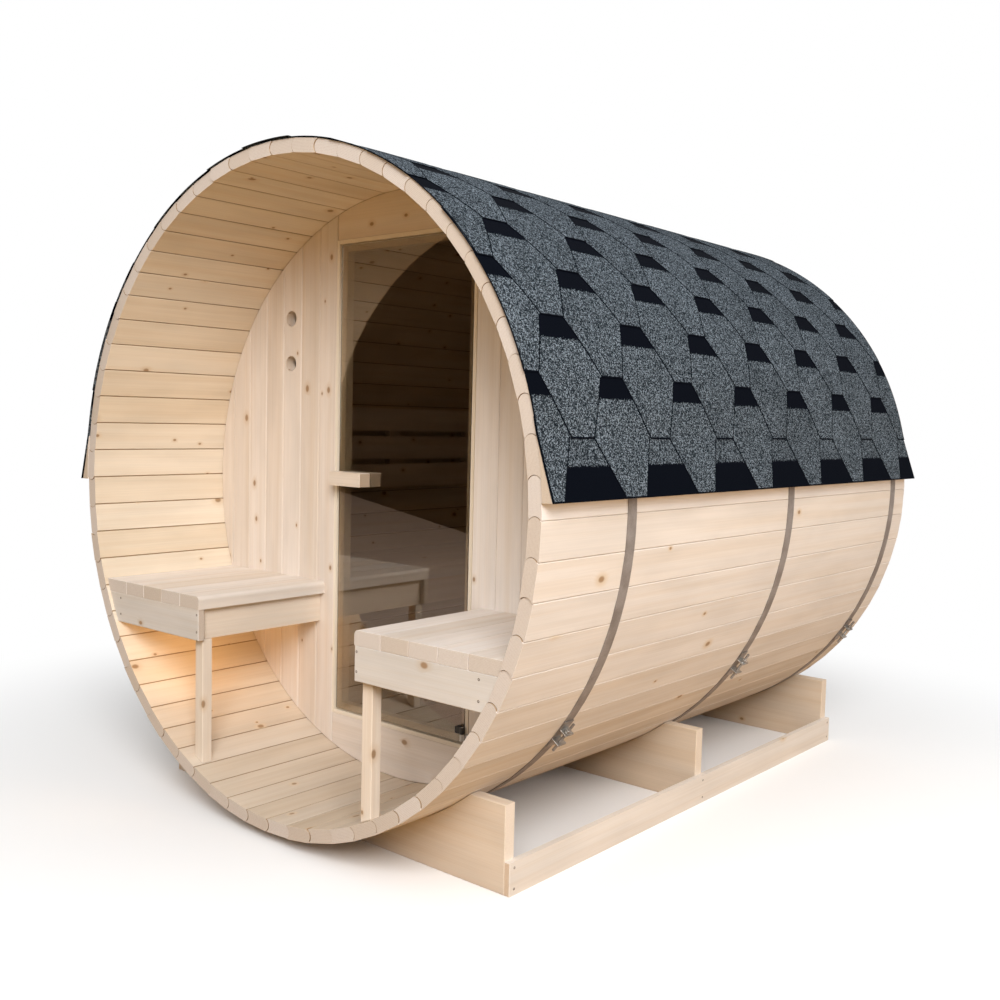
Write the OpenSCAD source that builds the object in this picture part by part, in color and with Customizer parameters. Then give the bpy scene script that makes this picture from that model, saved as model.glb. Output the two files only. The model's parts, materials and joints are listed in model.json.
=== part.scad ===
// Barrel sauna with an open porch, lying on three cradle boards.
// Millimetres. The barrel's axis runs along Y, the porch looks toward -Y, Z is up.

/* [Barrel] */
// Outside diameter across opposite stave faces
barrel_d = 1900; // [1800:10:2000]
// Length of the barrel from ring to ring
barrel_l = 2175; // [2000:5:2500]
// Thickness of a stave
stave_t = 38; // [33:1:44]
// Staves round the barrel, a multiple of eight
stave_n = 64; // [56:8:72]
// Air between the barrel and the ground
ground_gap = 32; // [24:1:60]

/* [Bead and cove joint] */
// Radius of the bead along a stave's edge
bead_r = 19; // [17:0.5:21]
// How far the bead stands out of the edge
bead_out = 8.5; // [6:0.5:10]
// Open joint left between two staves
stave_gap = 0.4; // [0.3:0.1:1]

/* [Walls] */
// Depth of the porch, ring to front wall
porch_d = 500; // [460:2:570]
// Thickness of the front and rear walls
wall_t = 38; // [33:1:44]
// Distance of the rear wall from the rear ring
rear_inset = 56; // [30:2:90]
// Play between a wall and the staves round it
wall_fit = 0.3; // [0.2:0.1:1]
// Diameter of the two round vents
vent_d = 52; // [46:1:60]
// Distance of the vents from the barrel's left side
vent_side = 385; // [352:1:412]
// Upper vent under the barrel's inside top
vent_down = 371; // [352:1:402]
// Distance between the vents
vent_step = 150; // [130:2:170]

/* [Doorway] */
// Width of the doorway in the wall
door_w = 606; // [570:2:616]
// Doorway's middle, right of the barrel's middle
door_off = 4; // [0:1:8]
// Height of the wall left over the doorway
header_h = 132; // [122:2:162]
// Height of the wall left under the doorway
sill_h = 152; // [137:5:177]
// Face width of the frame beside the glass
lip_w = 12; // [10:1:16]
// Extra width of the stop behind the glass
stop_w = 24; // [18:1:30]
// Depth of the frame
frame_d = 46; // [42:1:60]
// How far the glass lies behind the wall's face
glass_in = 4; // [3:0.5:8]
// Thickness of the glass
glass_t = 8; // [6:1:10]
// Air left round the glass
glass_gap = 6; // [5:0.5:7]

/* [Handle and hinges] */
// Length of the outer handle block
handle_l = 145; // [120:1:170]
// Height of the handle block
handle_h = 44; // [36:1:50]
// How far a handle block stands off the glass
handle_out = 45; // [30:1:60]
// Underside of the handle over the axis
handle_z = -4; // [-20:1:20]
// Height of a hinge
hinge_h = 40; // [34:2:50]
// Hinge to door edge, top and bottom
hinge_in = 30; // [26:1:120]
// Diameter of a hinge knuckle
knuckle_d = 14; // [12:0.5:15]
// Diameter of a hinge pin
pin_d = 8; // [6:0.5:9]
// Play round the pin and between the knuckles
pin_fit = 0.4; // [0.3:0.1:0.6]
// Distance of the hinge axis in front of the wall
hinge_out = 9; // [9:0.5:12]
// Length of a hinge leaf
leaf_l = 26; // [24:1:40]

/* [Benches] */
// Height of the seats over the barrel's inside bottom
seat_h = 584; // [558:2:608]
// Thickness of a seat slat
slat_t = 40; // [32:1:44]
// Width of a seat slat
slat_w = 97; // [90:1:104]
// Gap between two slats
slat_gap = 2; // [2:0.5:6]
// Rounding of the innermost slat's edge
slat_round = 13; // [8:1:16]
// Inner edge of the benches from the middle
seat_edge = 342; // [330:1:360]
// Height of the bench boards under the slats
apron_h = 94; // [80:1:110]
// Thickness of the bench's front board
apron_t = 22; // [18:1:30]
// Thickness of the bench's side board
side_t = 27; // [21:1:32]
// How far the slats stand over the side board
overhang = 20; // [14:1:24]
// How far the slats stand over the front board's end
front_lip = 2; // [1:0.5:6]
// How far the slats stand over the legs
leg_in = 10; // [6:1:16]
// Distance of the porch benches behind the ring
bench_in = 12; // [8:1:40]
// Leg width across the barrel
leg_w = 38; // [30:1:46]
// Leg depth along the barrel
leg_d = 34; // [28:1:44]

/* [Backrests] */
// Boards in a backrest
back_n = 3; // [2:1:3]
// Height of a backrest board
back_h = 92; // [80:1:96]
// Gap between backrest boards
back_gap = 22; // [16:1:26]
// Lower edge of a backrest over the seat
back_up = 262; // [240:2:280]
// Thickness of a backrest board
back_t = 19; // [16:1:24]
// Thickness of the battens behind it
batten_t = 27; // [22:1:32]
// Width of a batten
batten_w = 60; // [45:1:80]

/* [Roof] */
// Thickness of the shingle layer
shingle_t = 4; // [3:0.5:7]
// Overhang of the shingles at both rings
roof_over = 6; // [2:1:20]
// Height of the eaves over the axis before the turn
eave_z = 16; // [0:1:40]
// Turn of the whole roof, right eave up
roof_turn = 1.4; // [0:0.1:2]
// Height of an eave lath
lath_h = 142; // [110:2:160]
// Thickness of an eave lath at its lower edge
lath_t = 32; // [24:1:38]
// Thickness of an eave lath at its upper edge
lath_thin = 2; // [1.5:0.5:5]
// Length over which the shingles settle above a lath
settle_l = 18; // [12:1:30]
// Play under the shingles and the seats
roof_fit = 0.3; // [0.2:0.1:1]

/* [Steel bands] */
// Width of a band
band_w = 38; // [30:1:42]
// Thickness of a band
band_t = 1.5; // [1:0.1:2]
// First band from the front ring
band_first = 360; // [320:5:400]
// Second band behind the middle cradle's face
band_behind = 90; // [70:1:120]
// Air between the third band and the rear cradle
band_air = 10; // [5:1:30]
// Angle of the front tensioner under the axis
tension_front = 38; // [32:1:44]
// Angle of the other tensioners under the axis
tension_back = 34; // [28:1:40]
// Height of a tensioner lug
lug_h = 25; // [20:1:30]
// Thickness of a tensioner lug
lug_t = 4; // [3:0.5:5]
// Distance between two lugs
lug_step = 38; // [30:1:46]
// Diameter of a tensioner bolt
bolt_d = 8; // [6:1:10]
// Length of a tensioner bolt
bolt_l = 104; // [80:2:120]
// Width of a nut across its corners
nut_d = 15; // [12:0.5:17]
// Height of a nut
nut_h = 7; // [5:0.5:9]

/* [Cradle] */
// Half the length of a cradle board
cradle_w = 708; // [690:2:720]
// Height of a cradle board's ends
cradle_h = 234; // [220:2:246]
// Thickness of a cradle board
cradle_t = 38; // [33:1:44]
// Front cradle from the front ring
cradle_first = 199; // [170:1:230]
// Rear cradle from the rear ring
cradle_last = 52; // [40:1:90]
// Height of a side rail
rail_h = 88; // [78:1:104]
// Thickness of a side rail
rail_t = 18; // [15:1:25]

/* [Hidden] */
$fn = 96;
ring_fn = 360;
r_out = barrel_d / 2;
axis_h = r_out + ground_gap;
r_in = r_out - stave_t;
pitch = 360 / stave_n;
group_n = stave_n / 8;
y_front = -barrel_l / 2;
y_cradle_1 = y_front + cradle_first;
y_cradle_3 = barrel_l / 2 - cradle_last - cradle_t;
y_cradle_2 = (y_cradle_1 + y_cradle_3) / 2;
band_ys = [y_front + band_first, y_cradle_2 + band_behind, y_cradle_3 - band_air - band_w / 2];
y_wall = y_front + porch_d;
y_rear = barrel_l / 2 - rear_inset - wall_t;
r_wall = r_in - wall_fit;
r_corner = r_out / cos(pitch / 2);
r_seat = r_corner + roof_fit;
r_roof = r_seat + shingle_t;
vent_x = r_in - vent_side;
vent_z = r_in - vent_down;
door_top = r_in - header_h;
door_low = r_in - sill_h;
door_x0 = door_off - door_w / 2;
door_x1 = door_off + door_w / 2;
glass_x0 = door_x0 + lip_w + glass_gap;
glass_x1 = door_x1 - lip_w - glass_gap;
glass_z0 = -door_low + lip_w + glass_gap;
glass_z1 = door_top - lip_w - glass_gap;
y_glass = y_wall + glass_in;
y_stop = y_glass + glass_t + glass_gap;
hinge_side = 3;
hinge_x = glass_x1 + hinge_side;
hinge_y = y_wall - hinge_out;
hinge_zs = [glass_z0 + hinge_in, glass_z1 - hinge_in];
web_l = 9;
web_out = 2;
arm_t = 6;
clamp_air = 10;
lap = 1;
handle_x = glass_x0 + lap;
handle_clear = 8;
handle_in_x = door_x0 + lip_w + stop_w + handle_clear;
seat_z = r_in - seat_h;
back_low = seat_z - back_up;
batten_at = [0.2, 0.5, 0.8];
apron_top = -seat_z - slat_t;
apron_low = apron_top - apron_h;
y_bench = y_front + bench_in;
bench_l = y_wall - y_bench;
cabin_y = y_wall + frame_d;
cabin_l = y_rear - cabin_y;
eave_a = asin(eave_z / (r_seat + lath_t));
lath_a = eave_a + 2 * asin(lath_h / 2 / r_seat);
settle_a = lath_a + 2 * asin(settle_l / 2 / r_seat);
lap_a = 0.5;
lap_r = shingle_t / 6;
r_band = r_corner + band_t;
r_bolt = r_band + 0.6 * lug_h;
roof_split = 50;

// A drawing in X and height over the axis, extruded along Y from y0
module along_y(y0, len) {
    translate([0, y0 + len, axis_h])
        rotate([90, 0, 0])
            linear_extrude(height = len)
                children();
}

// The same side drawn on the left
module left_side() {
    mirror([1, 0, 0])
        children();
}

// A box given by its lower and upper corners, heights over the axis
module block(lo, hi) {
    translate([lo[0], lo[1], axis_h + lo[2]])
        cube([hi[0] - lo[0], hi[1] - lo[1], hi[2] - lo[2]]);
}

// Section of one stave lying on the X axis: a bead on one edge, a cove on the other
module stave_section() {
    half = tan(pitch / 2);
    slip = stave_gap / 2 / cos(pitch / 2);
    r_mid = (r_out + r_in) / 2;
    bead = [r_mid, r_mid * half - bead_r + bead_out];
    cove = [bead[0] * cos(pitch) + bead[1] * sin(pitch), bead[1] * cos(pitch) - bead[0] * sin(pitch)];
    difference() {
        union() {
            polygon([[r_in, slip - r_in * half], [r_out, slip - r_out * half],
                [r_out, r_out * half - slip], [r_in, r_in * half - slip]]);
            translate(bead)
                circle(r = bead_r);
        }
        translate(cove)
            circle(r = bead_r + stave_gap);
    }
}

// An eighth of the barrel, counted from the right side upward
module stave_group(first) {
    color("burlywood")
        for (i = [0 : group_n - 1])
            translate([0, y_front + barrel_l, axis_h])
                rotate([90, 0, 0])
                    rotate([0, 0, (first * group_n + i + 0.5) * pitch])
                        linear_extrude(height = barrel_l)
                            stave_section();
}

// The front wall between two corners of its face
module wall_part(lo, hi) {
    intersection() {
        circle(r = r_wall, $fn = ring_fn);
        translate(lo)
            square(hi - lo);
    }
}

module front_wall_left() {
    color("wheat")
        along_y(y_wall, wall_t)
            difference() {
                wall_part([-r_out, -r_out], [door_x0, r_out]);
                translate([-vent_x, vent_z])
                    circle(d = vent_d);
                translate([-vent_x, vent_z - vent_step])
                    circle(d = vent_d);
            }
}

module front_wall_right() {
    color("wheat")
        along_y(y_wall, wall_t)
            wall_part([door_x1, -r_out], [r_out, r_out]);
}

module front_wall_header() {
    color("wheat")
        along_y(y_wall, wall_t)
            wall_part([door_x0, door_top], [door_x1, r_out]);
}

module front_wall_sill() {
    color("wheat")
        along_y(y_wall, wall_t)
            wall_part([door_x0, -r_out], [door_x1, -door_low]);
}

module rear_wall() {
    color("wheat")
        along_y(y_rear, wall_t)
            circle(r = r_wall, $fn = ring_fn);
}

// A jamb seen from above: the lip beside the glass and the stop behind it
module jamb(x, side) {
    stop_x = x + side * (lip_w + stop_w);
    lip_x = x + side * lip_w;
    translate([0, 0, axis_h - door_low])
        linear_extrude(height = door_top + door_low)
            polygon([[x, y_wall], [lip_x, y_wall], [lip_x, y_stop], [stop_x, y_stop],
                [stop_x, y_wall + frame_d], [x, y_wall + frame_d]]);
}

module door_jambs() {
    color("tan") {
        jamb(door_x0, 1);
        jamb(door_x1, -1);
    }
}

// A head or sill rail between the jambs, z being its outer face
module rail(z, side) {
    lip_z = z + side * lip_w;
    stop_z = z + side * (lip_w + stop_w);
    block([door_x0 + lip_w, y_wall, min(z, lip_z)], [door_x1 - lip_w, y_stop, max(z, lip_z)]);
    block([door_x0 + lip_w + stop_w, y_stop, min(z, stop_z)],
        [door_x1 - lip_w - stop_w, y_wall + frame_d, max(z, stop_z)]);
}

module door_rails() {
    color("tan") {
        rail(door_top, -1);
        rail(-door_low, 1);
    }
}

module door_glass() {
    color([0.3, 0.22, 0.16, 0.7])
        block([glass_x0, y_glass, glass_z0], [glass_x1, y_glass + glass_t, glass_z1]);
}

// A handle block on each side of the glass; the inner one starts clear of the stop
module door_handle() {
    color("burlywood") {
        block([handle_x, y_glass - handle_out, handle_z],
            [handle_x + handle_l, y_glass, handle_z + handle_h]);
        block([handle_in_x, y_glass + glass_t, handle_z],
            [handle_x + handle_l, y_glass + glass_t + handle_out, handle_z + handle_h]);
    }
}

// The wall's half of a hinge: a leaf, the lower knuckle and the pin
module hinge_leaf(z) {
    low = z - hinge_h / 2;
    leaf_y = (y_wall + hinge_y) / 2;
    block([hinge_x, leaf_y, low], [hinge_x + leaf_l, y_wall, z - pin_fit]);
    block([hinge_x, hinge_y - web_out, low], [hinge_x + web_l, leaf_y + lap, z - pin_fit]);
    translate([hinge_x, hinge_y, axis_h + low])
        cylinder(d = knuckle_d, h = hinge_h / 2 - pin_fit);
    translate([hinge_x, hinge_y, axis_h + low])
        cylinder(d = pin_d, h = hinge_h);
}

module hinge_leaves() {
    color("silver")
        for (z = hinge_zs)
            hinge_leaf(z);
}

// The door's half of a hinge: the upper knuckle and the clamp on the glass
module hinge_clamp(z) {
    top = z + hinge_h / 2;
    difference() {
        union() {
            translate([hinge_x, hinge_y, axis_h + z])
                cylinder(d = knuckle_d, h = hinge_h / 2);
            block([hinge_x - leaf_l, hinge_y - arm_t / 2, z], [hinge_x, hinge_y + arm_t / 2, top]);
            block([hinge_x - leaf_l, hinge_y, z], [hinge_x - clamp_air, y_glass, top]);
        }
        translate([hinge_x, hinge_y, axis_h + z - lap])
            cylinder(d = pin_d + 2 * pin_fit, h = hinge_h);
    }
}

module hinge_clamps() {
    color("silver")
        for (z = hinge_zs)
            hinge_clamp(z);
}

// Section of a seat: slats side by side, the outer one wide enough to meet the barrel
module seat_section() {
    step = slat_w + slat_gap;
    last = floor((sqrt(pow(r_wall, 2) - pow(seat_z, 2)) - seat_edge) / step) - 1;
    intersection() {
        circle(r = r_wall, $fn = ring_fn);
        union() {
            translate([seat_edge, apron_top])
                square([slat_w, slat_t - slat_round]);
            translate([seat_edge + slat_round, apron_top])
                square([slat_w - slat_round, slat_t]);
            translate([seat_edge + slat_round, -seat_z - slat_round])
                circle(r = slat_round);
            for (i = [1 : last])
                translate([seat_edge + i * step, apron_top])
                    square([i < last ? slat_w : r_out, slat_t]);
        }
    }
}

// Section of a board under the slats, from its inner face x0, cut to the barrel
module apron_section(x0, w) {
    intersection() {
        circle(r = r_wall, $fn = ring_fn);
        translate([x0, apron_low])
            square([w, apron_h]);
    }
}

module porch_seat_left() {
    color("navajowhite")
        left_side()
            along_y(y_bench, bench_l)
                seat_section();
}

module porch_seat_right() {
    color("navajowhite")
        along_y(y_bench, bench_l)
            seat_section();
}

module porch_front_boards() {
    color("wheat") {
        along_y(y_bench, apron_t)
            apron_section(seat_edge + front_lip, r_out);
        left_side()
            along_y(y_bench, apron_t)
                apron_section(seat_edge + front_lip, r_out);
    }
}

module porch_side_boards() {
    color("wheat") {
        along_y(y_bench + apron_t, bench_l - apron_t)
            apron_section(seat_edge + overhang, side_t);
        left_side()
            along_y(y_bench + apron_t, bench_l - apron_t)
                apron_section(seat_edge + overhang, side_t);
    }
}

// A leg from the bench boards down to the staves
module leg_section() {
    intersection() {
        circle(r = r_wall, $fn = ring_fn);
        translate([seat_edge + leg_in, -r_out])
            square([leg_w, r_out + apron_low]);
    }
}

module porch_legs() {
    color("wheat") {
        along_y(y_bench + apron_t, leg_d)
            leg_section();
        left_side()
            along_y(y_bench + apron_t, leg_d)
                leg_section();
    }
}

module cabin_seat_left() {
    color("navajowhite")
        left_side()
            along_y(cabin_y, cabin_l)
                seat_section();
}

module cabin_seat_right() {
    color("navajowhite")
        along_y(cabin_y, cabin_l)
            seat_section();
}

module cabin_side_boards() {
    color("wheat") {
        along_y(cabin_y, cabin_l)
            apron_section(seat_edge + overhang, side_t);
        left_side()
            along_y(cabin_y, cabin_l)
                apron_section(seat_edge + overhang, side_t);
    }
}

// A slatted backrest on three upright battens
module backrest() {
    rise = back_n * back_h + (back_n - 1) * back_gap;
    top = rise - back_low;
    x_wall = sqrt(pow(r_wall, 2) - pow(max(top, back_low), 2));
    for (i = [0 : back_n - 1])
        block([x_wall - batten_t - back_t, cabin_y, i * (back_h + back_gap) - back_low],
            [x_wall - batten_t, y_rear, i * (back_h + back_gap) - back_low + back_h]);
    for (share = batten_at)
        block([x_wall - batten_t - lap, cabin_y + share * cabin_l - batten_w / 2, -back_low],
            [x_wall, cabin_y + share * cabin_l + batten_w / 2, top]);
}

module cabin_backrest_left() {
    color("navajowhite")
        left_side()
            backrest();
}

module cabin_backrest_right() {
    color("navajowhite")
        backrest();
}

// A wedge of the plane between two angles, large enough to cut the roof
module sector(a0, a1) {
    polygon([[0, 0], 2 * r_out * [cos(a0), sin(a0)],
        3 * r_out * [cos((a0 + a1) / 2), sin((a0 + a1) / 2)], 2 * r_out * [cos(a1), sin(a1)]]);
}

// Corners of the eave lath: a wedge that turns the lowest shingles outward
function lath_in(a) = r_seat * [cos(a), sin(a)];
function lath_low() = (r_seat + lath_t) * [cos(eave_a), sin(eave_a)];
function lath_top() = (r_seat + lath_thin) * [cos(lath_a), sin(lath_a)];

module lath_section() {
    difference() {
        polygon([0.9 * lath_in(eave_a), lath_low(), lath_top(), 0.9 * lath_in(lath_a)]);
        circle(r = r_seat, $fn = ring_fn);
    }
}

// The shingle layer on a lath, straight from the lath's tip and then down into the round roof
module eave_section() {
    out = shingle_t * [cos(lath_a / 2), sin(lath_a / 2)];
    end = [cos(settle_a + lap_a), sin(settle_a + lap_a)];
    polygon([lath_low(), lath_low() + out, lath_top() + out,
        (r_roof - lap_r) * end, (r_seat + lap_r) * end, lath_top()]);
}

// The shingle layer on the round of the barrel between two angles
module shell_section(a0, a1) {
    intersection() {
        difference() {
            circle(r = r_roof, $fn = ring_fn);
            circle(r = r_seat, $fn = ring_fn);
        }
        sector(a0, a1);
    }
}

// Roof pieces are drawn on the right and turned with the whole roof
module roof_piece() {
    translate([0, barrel_l / 2 + roof_over, axis_h])
        rotate([90, 0, 0])
            rotate([0, 0, roof_turn])
                linear_extrude(height = barrel_l + 2 * roof_over)
                    children();
}

module roof_right_eave() {
    color("slategray")
        roof_piece() {
            shell_section(settle_a, roof_split);
            eave_section();
        }
}

module roof_right_top() {
    color("slategray")
        roof_piece()
            shell_section(roof_split, 90);
}

module roof_left_top() {
    color("slategray")
        roof_piece()
            mirror([1, 0])
                shell_section(roof_split, 90);
}

module roof_left_eave() {
    color("slategray")
        roof_piece()
            mirror([1, 0]) {
                shell_section(settle_a, roof_split);
                eave_section();
            }
}

module eave_laths() {
    color("wheat")
        translate([0, barrel_l / 2, axis_h])
            rotate([90, 0, 0])
                rotate([0, 0, roof_turn])
                    linear_extrude(height = barrel_l) {
                        lath_section();
                        mirror([1, 0])
                            lath_section();
                    }
}

// A band round the lower half, from eave lath to eave lath
module band_section() {
    difference() {
        circle(r = r_band, $fn = ring_fn);
        circle(r = r_corner, $fn = ring_fn);
        rotate([0, 0, roof_turn])
            translate([-2 * r_out, lath_in(eave_a)[1] - roof_fit])
                square([4 * r_out, 2 * r_out]);
    }
}

module steel_bands() {
    color("dimgray")
        for (y = band_ys)
            along_y(y - band_w / 2, band_w)
                band_section();
}

// Two lugs on a band with a bolt and two nuts
module tensioner() {
    for (s = [-1, 1])
        translate([r_band, s * lug_step / 2 - lug_t / 2, -band_w / 2])
            cube([lug_h, lug_t, band_w]);
    translate([r_bolt, -bolt_l / 2, 0])
        rotate([-90, 0, 0])
            cylinder(d = bolt_d, h = bolt_l);
    for (s = [-1, 1])
        translate([r_bolt, s * (lug_step / 2 + lug_t / 2 + nut_h / 2) - nut_h / 2, 0])
            rotate([-90, 0, 0])
                cylinder(d = nut_d, h = nut_h, $fn = 6);
}

module band_tensioners() {
    color("silver")
        for (i = [0 : len(band_ys) - 1])
            translate([0, band_ys[i], axis_h])
                rotate([90, 0, 0])
                    rotate([0, 0, i == 0 ? -tension_front : -tension_back])
                        tensioner();
}

// A cradle board with the barrel's seat cut into it
module cradle(y) {
    color("peru")
        along_y(y, cradle_t)
            difference() {
                translate([-cradle_w, -axis_h])
                    square([2 * cradle_w, cradle_h]);
                circle(r = r_seat, $fn = ring_fn);
            }
}

module cradle_front() {
    cradle(y_cradle_1);
}

module cradle_middle() {
    cradle(y_cradle_2);
}

module cradle_rear() {
    cradle(y_cradle_3);
}

module side_rails() {
    color("wheat")
        for (s = [-1, 1])
            translate([s * (cradle_w + rail_t / 2) - rail_t / 2, y_cradle_1, 0])
                cube([rail_t, y_cradle_3 + cradle_t - y_cradle_1, rail_h]);
}

stave_group(0);  // staves_upper_right
stave_group(1);  // staves_top_right
stave_group(2);  // staves_top_left
stave_group(3);  // staves_upper_left
stave_group(4);  // staves_lower_left
stave_group(5);  // staves_bottom_left
stave_group(6);  // staves_bottom_right
stave_group(7);  // staves_lower_right
front_wall_left();
front_wall_right();
front_wall_header();
front_wall_sill();
rear_wall();
door_jambs();
door_rails();
door_glass();
door_handle();
hinge_leaves();
hinge_clamps();
porch_seat_left();
porch_seat_right();
porch_front_boards();
porch_side_boards();
porch_legs();
cabin_seat_left();
cabin_seat_right();
cabin_side_boards();
cabin_backrest_left();
cabin_backrest_right();
roof_left_eave();
roof_left_top();
roof_right_top();
roof_right_eave();
eave_laths();
steel_bands();
band_tensioners();
cradle_front();
cradle_middle();
cradle_rear();
side_rails();
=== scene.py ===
# %% [markdown]
# # A barrel sauna with a porch
# The object is a wooden barrel lying on three cradle boards, with a shingled roof, an open porch with two
# benches and a tinted glass door. The solids come from the CAD frame. This lesson dresses them: every board
# is rebuilt with eased edges and its own grain, and the roof is laid shingle by shingle.

# %% Load the frame
import json
import math

import bpy
import numpy as np
from mathutils import Matrix, Vector


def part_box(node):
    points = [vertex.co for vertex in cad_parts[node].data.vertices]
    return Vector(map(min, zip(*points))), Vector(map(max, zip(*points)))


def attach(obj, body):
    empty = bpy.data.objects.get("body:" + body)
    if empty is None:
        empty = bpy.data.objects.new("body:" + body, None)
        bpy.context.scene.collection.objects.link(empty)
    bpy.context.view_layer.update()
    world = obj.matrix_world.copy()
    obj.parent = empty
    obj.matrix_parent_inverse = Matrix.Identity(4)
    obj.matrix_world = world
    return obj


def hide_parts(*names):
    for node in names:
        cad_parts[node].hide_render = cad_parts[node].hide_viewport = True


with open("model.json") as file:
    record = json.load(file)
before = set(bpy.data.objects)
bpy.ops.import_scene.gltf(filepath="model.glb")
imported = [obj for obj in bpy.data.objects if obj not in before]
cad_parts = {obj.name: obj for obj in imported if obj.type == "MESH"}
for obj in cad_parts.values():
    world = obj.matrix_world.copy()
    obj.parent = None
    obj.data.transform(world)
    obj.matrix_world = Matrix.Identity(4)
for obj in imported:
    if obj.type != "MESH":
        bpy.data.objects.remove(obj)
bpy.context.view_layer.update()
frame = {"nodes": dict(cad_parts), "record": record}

# %% [markdown]
# ## Measures
# The rear wall is a plain disc on the barrel's axis, so its box gives the axis height and the inside
# radius. The other boxes give where each group of boards starts and ends. Only what a box can't tell is
# written here: the stave's joint, the board widths and the roof's wedge.

# %% Measures taken from the frame
rear_lo, rear_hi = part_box("rear_wall")
AXIS_Z = (rear_lo.z + rear_hi.z) / 2
R_WALL = (rear_hi.z - rear_lo.z) / 2
WALL_PLAY = 0.0003
STAVE_T = 0.038
R_IN = R_WALL + WALL_PLAY
R_OUT = R_IN + STAVE_T
Y_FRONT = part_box("staves_upper_right")[0].y
Y_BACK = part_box("staves_upper_right")[1].y
STAVES = 64
PITCH = 2 * math.pi / STAVES
R_CORNER = R_OUT / math.cos(PITCH / 2)
R_SEAT = R_CORNER + WALL_PLAY
print(f"axis {AXIS_Z:.3f} m up, inside radius {R_IN:.3f} m, barrel from {Y_FRONT:.3f} to {Y_BACK:.3f} m")

# %% [markdown]
# ## A board as an outline carried along a line
# Nearly everything here is timber: a flat outline pushed along one axis, with its edges eased by a small
# chamfer. One could start from cubes and bevel them, but an outline also gives the stave's round bead, the
# cradle's curved seat and the slats that are cut to the barrel, all with one function.

# %% The carried outline
GIVEN = {"x": (1, 2), "y": (0, 2), "z": (0, 1)}
ARRIS, MITRE_LIMIT = 0.0015, 0.3


def carry(outline, axis, ends, arris=ARRIS):
    """A closed outline carried along an axis. Four rings stand at start, start + arris, end - arris and end.
    The first and last are drawn in by arris along the mitre of the two edge normals, (n1 + n2) / (1 + n1.n2).
    The outline is in (y, z) for x, (x, z) for y and (x, y) for z. Returns points, quads and two caps."""
    line = np.asarray(outline, float)
    after = np.roll(line, -1, 0)
    turn = -1 if axis == "y" else 1
    if turn * np.sum(line[:, 0] * after[:, 1] - line[:, 1] * after[:, 0]) < 0:
        line = line[::-1]
    edge = np.roll(line, -1, 0) - line
    normal = turn * np.column_stack([edge[:, 1], -edge[:, 0]])
    normal /= np.linalg.norm(normal, axis=1, keepdims=True)
    before = np.roll(normal, 1, 0)
    mitre = (normal + before) / np.maximum(1 + np.sum(normal * before, 1, keepdims=True), MITRE_LIMIT)
    inner = line - arris * mitre
    count = len(line)
    points = np.zeros((4, count, 3))
    points[:, :, GIVEN[axis]] = np.stack([inner, line, line, inner])
    start, end = ends
    points[:, :, "xyz".index(axis)] = np.array([start, start + arris, end - arris, end])[:, None]
    i = np.arange(count)
    ring = np.column_stack([i, np.roll(i, -1), np.roll(i, -1) + count, i + count])
    quads = np.concatenate([ring, ring + count, ring + 2 * count])
    return points.reshape(-1, 3), quads, [i[::-1], i + 3 * count]


def about_axis(angle):
    """A placing function: X is radial and Z goes round the barrel, turned by an angle about its axis."""
    c, s = math.cos(angle), math.sin(angle)

    def place(p):
        x, y, z = p.T
        return np.column_stack([c * x - s * z, y, s * x + c * z + AXIS_Z])

    return place


def arc(centre, radius, start, end, count):
    """Points on a circle: centre + radius * (cos a, sin a) for angles from start to end."""
    a = np.linspace(start, end, count)
    return np.asarray(centre) + radius * np.column_stack([np.cos(a), np.sin(a)])


def box_outline(lo, hi):
    """The four corners of a rectangle."""
    return [(lo[0], lo[1]), (hi[0], lo[1]), (hi[0], hi[1]), (lo[0], hi[1])]


print("boards are outlines carried along", ", ".join(GIVEN))

# %% [markdown]
# ## Timber: many boards in one mesh
# Wood looks real when each board has its own tone and its grain runs the right way. Each board therefore
# writes a UV map in metres, U along its grain, and three chance numbers. Faces that cut across the grain
# are marked, so that the material can draw growth rings there. The numbers come from a seeded generator,
# the same in every run.

# %% The timber store
CUT_ACROSS, TINY = 0.75, 1e-12


def store(mesh, name, kind, domain, values):
    """Writes one number or vector for each point or face of a mesh."""
    field = "vector" if kind == "FLOAT_VECTOR" else "value"
    mesh.attributes.new(name, kind, domain).data.foreach_set(field, np.concatenate(values).ravel())


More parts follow.
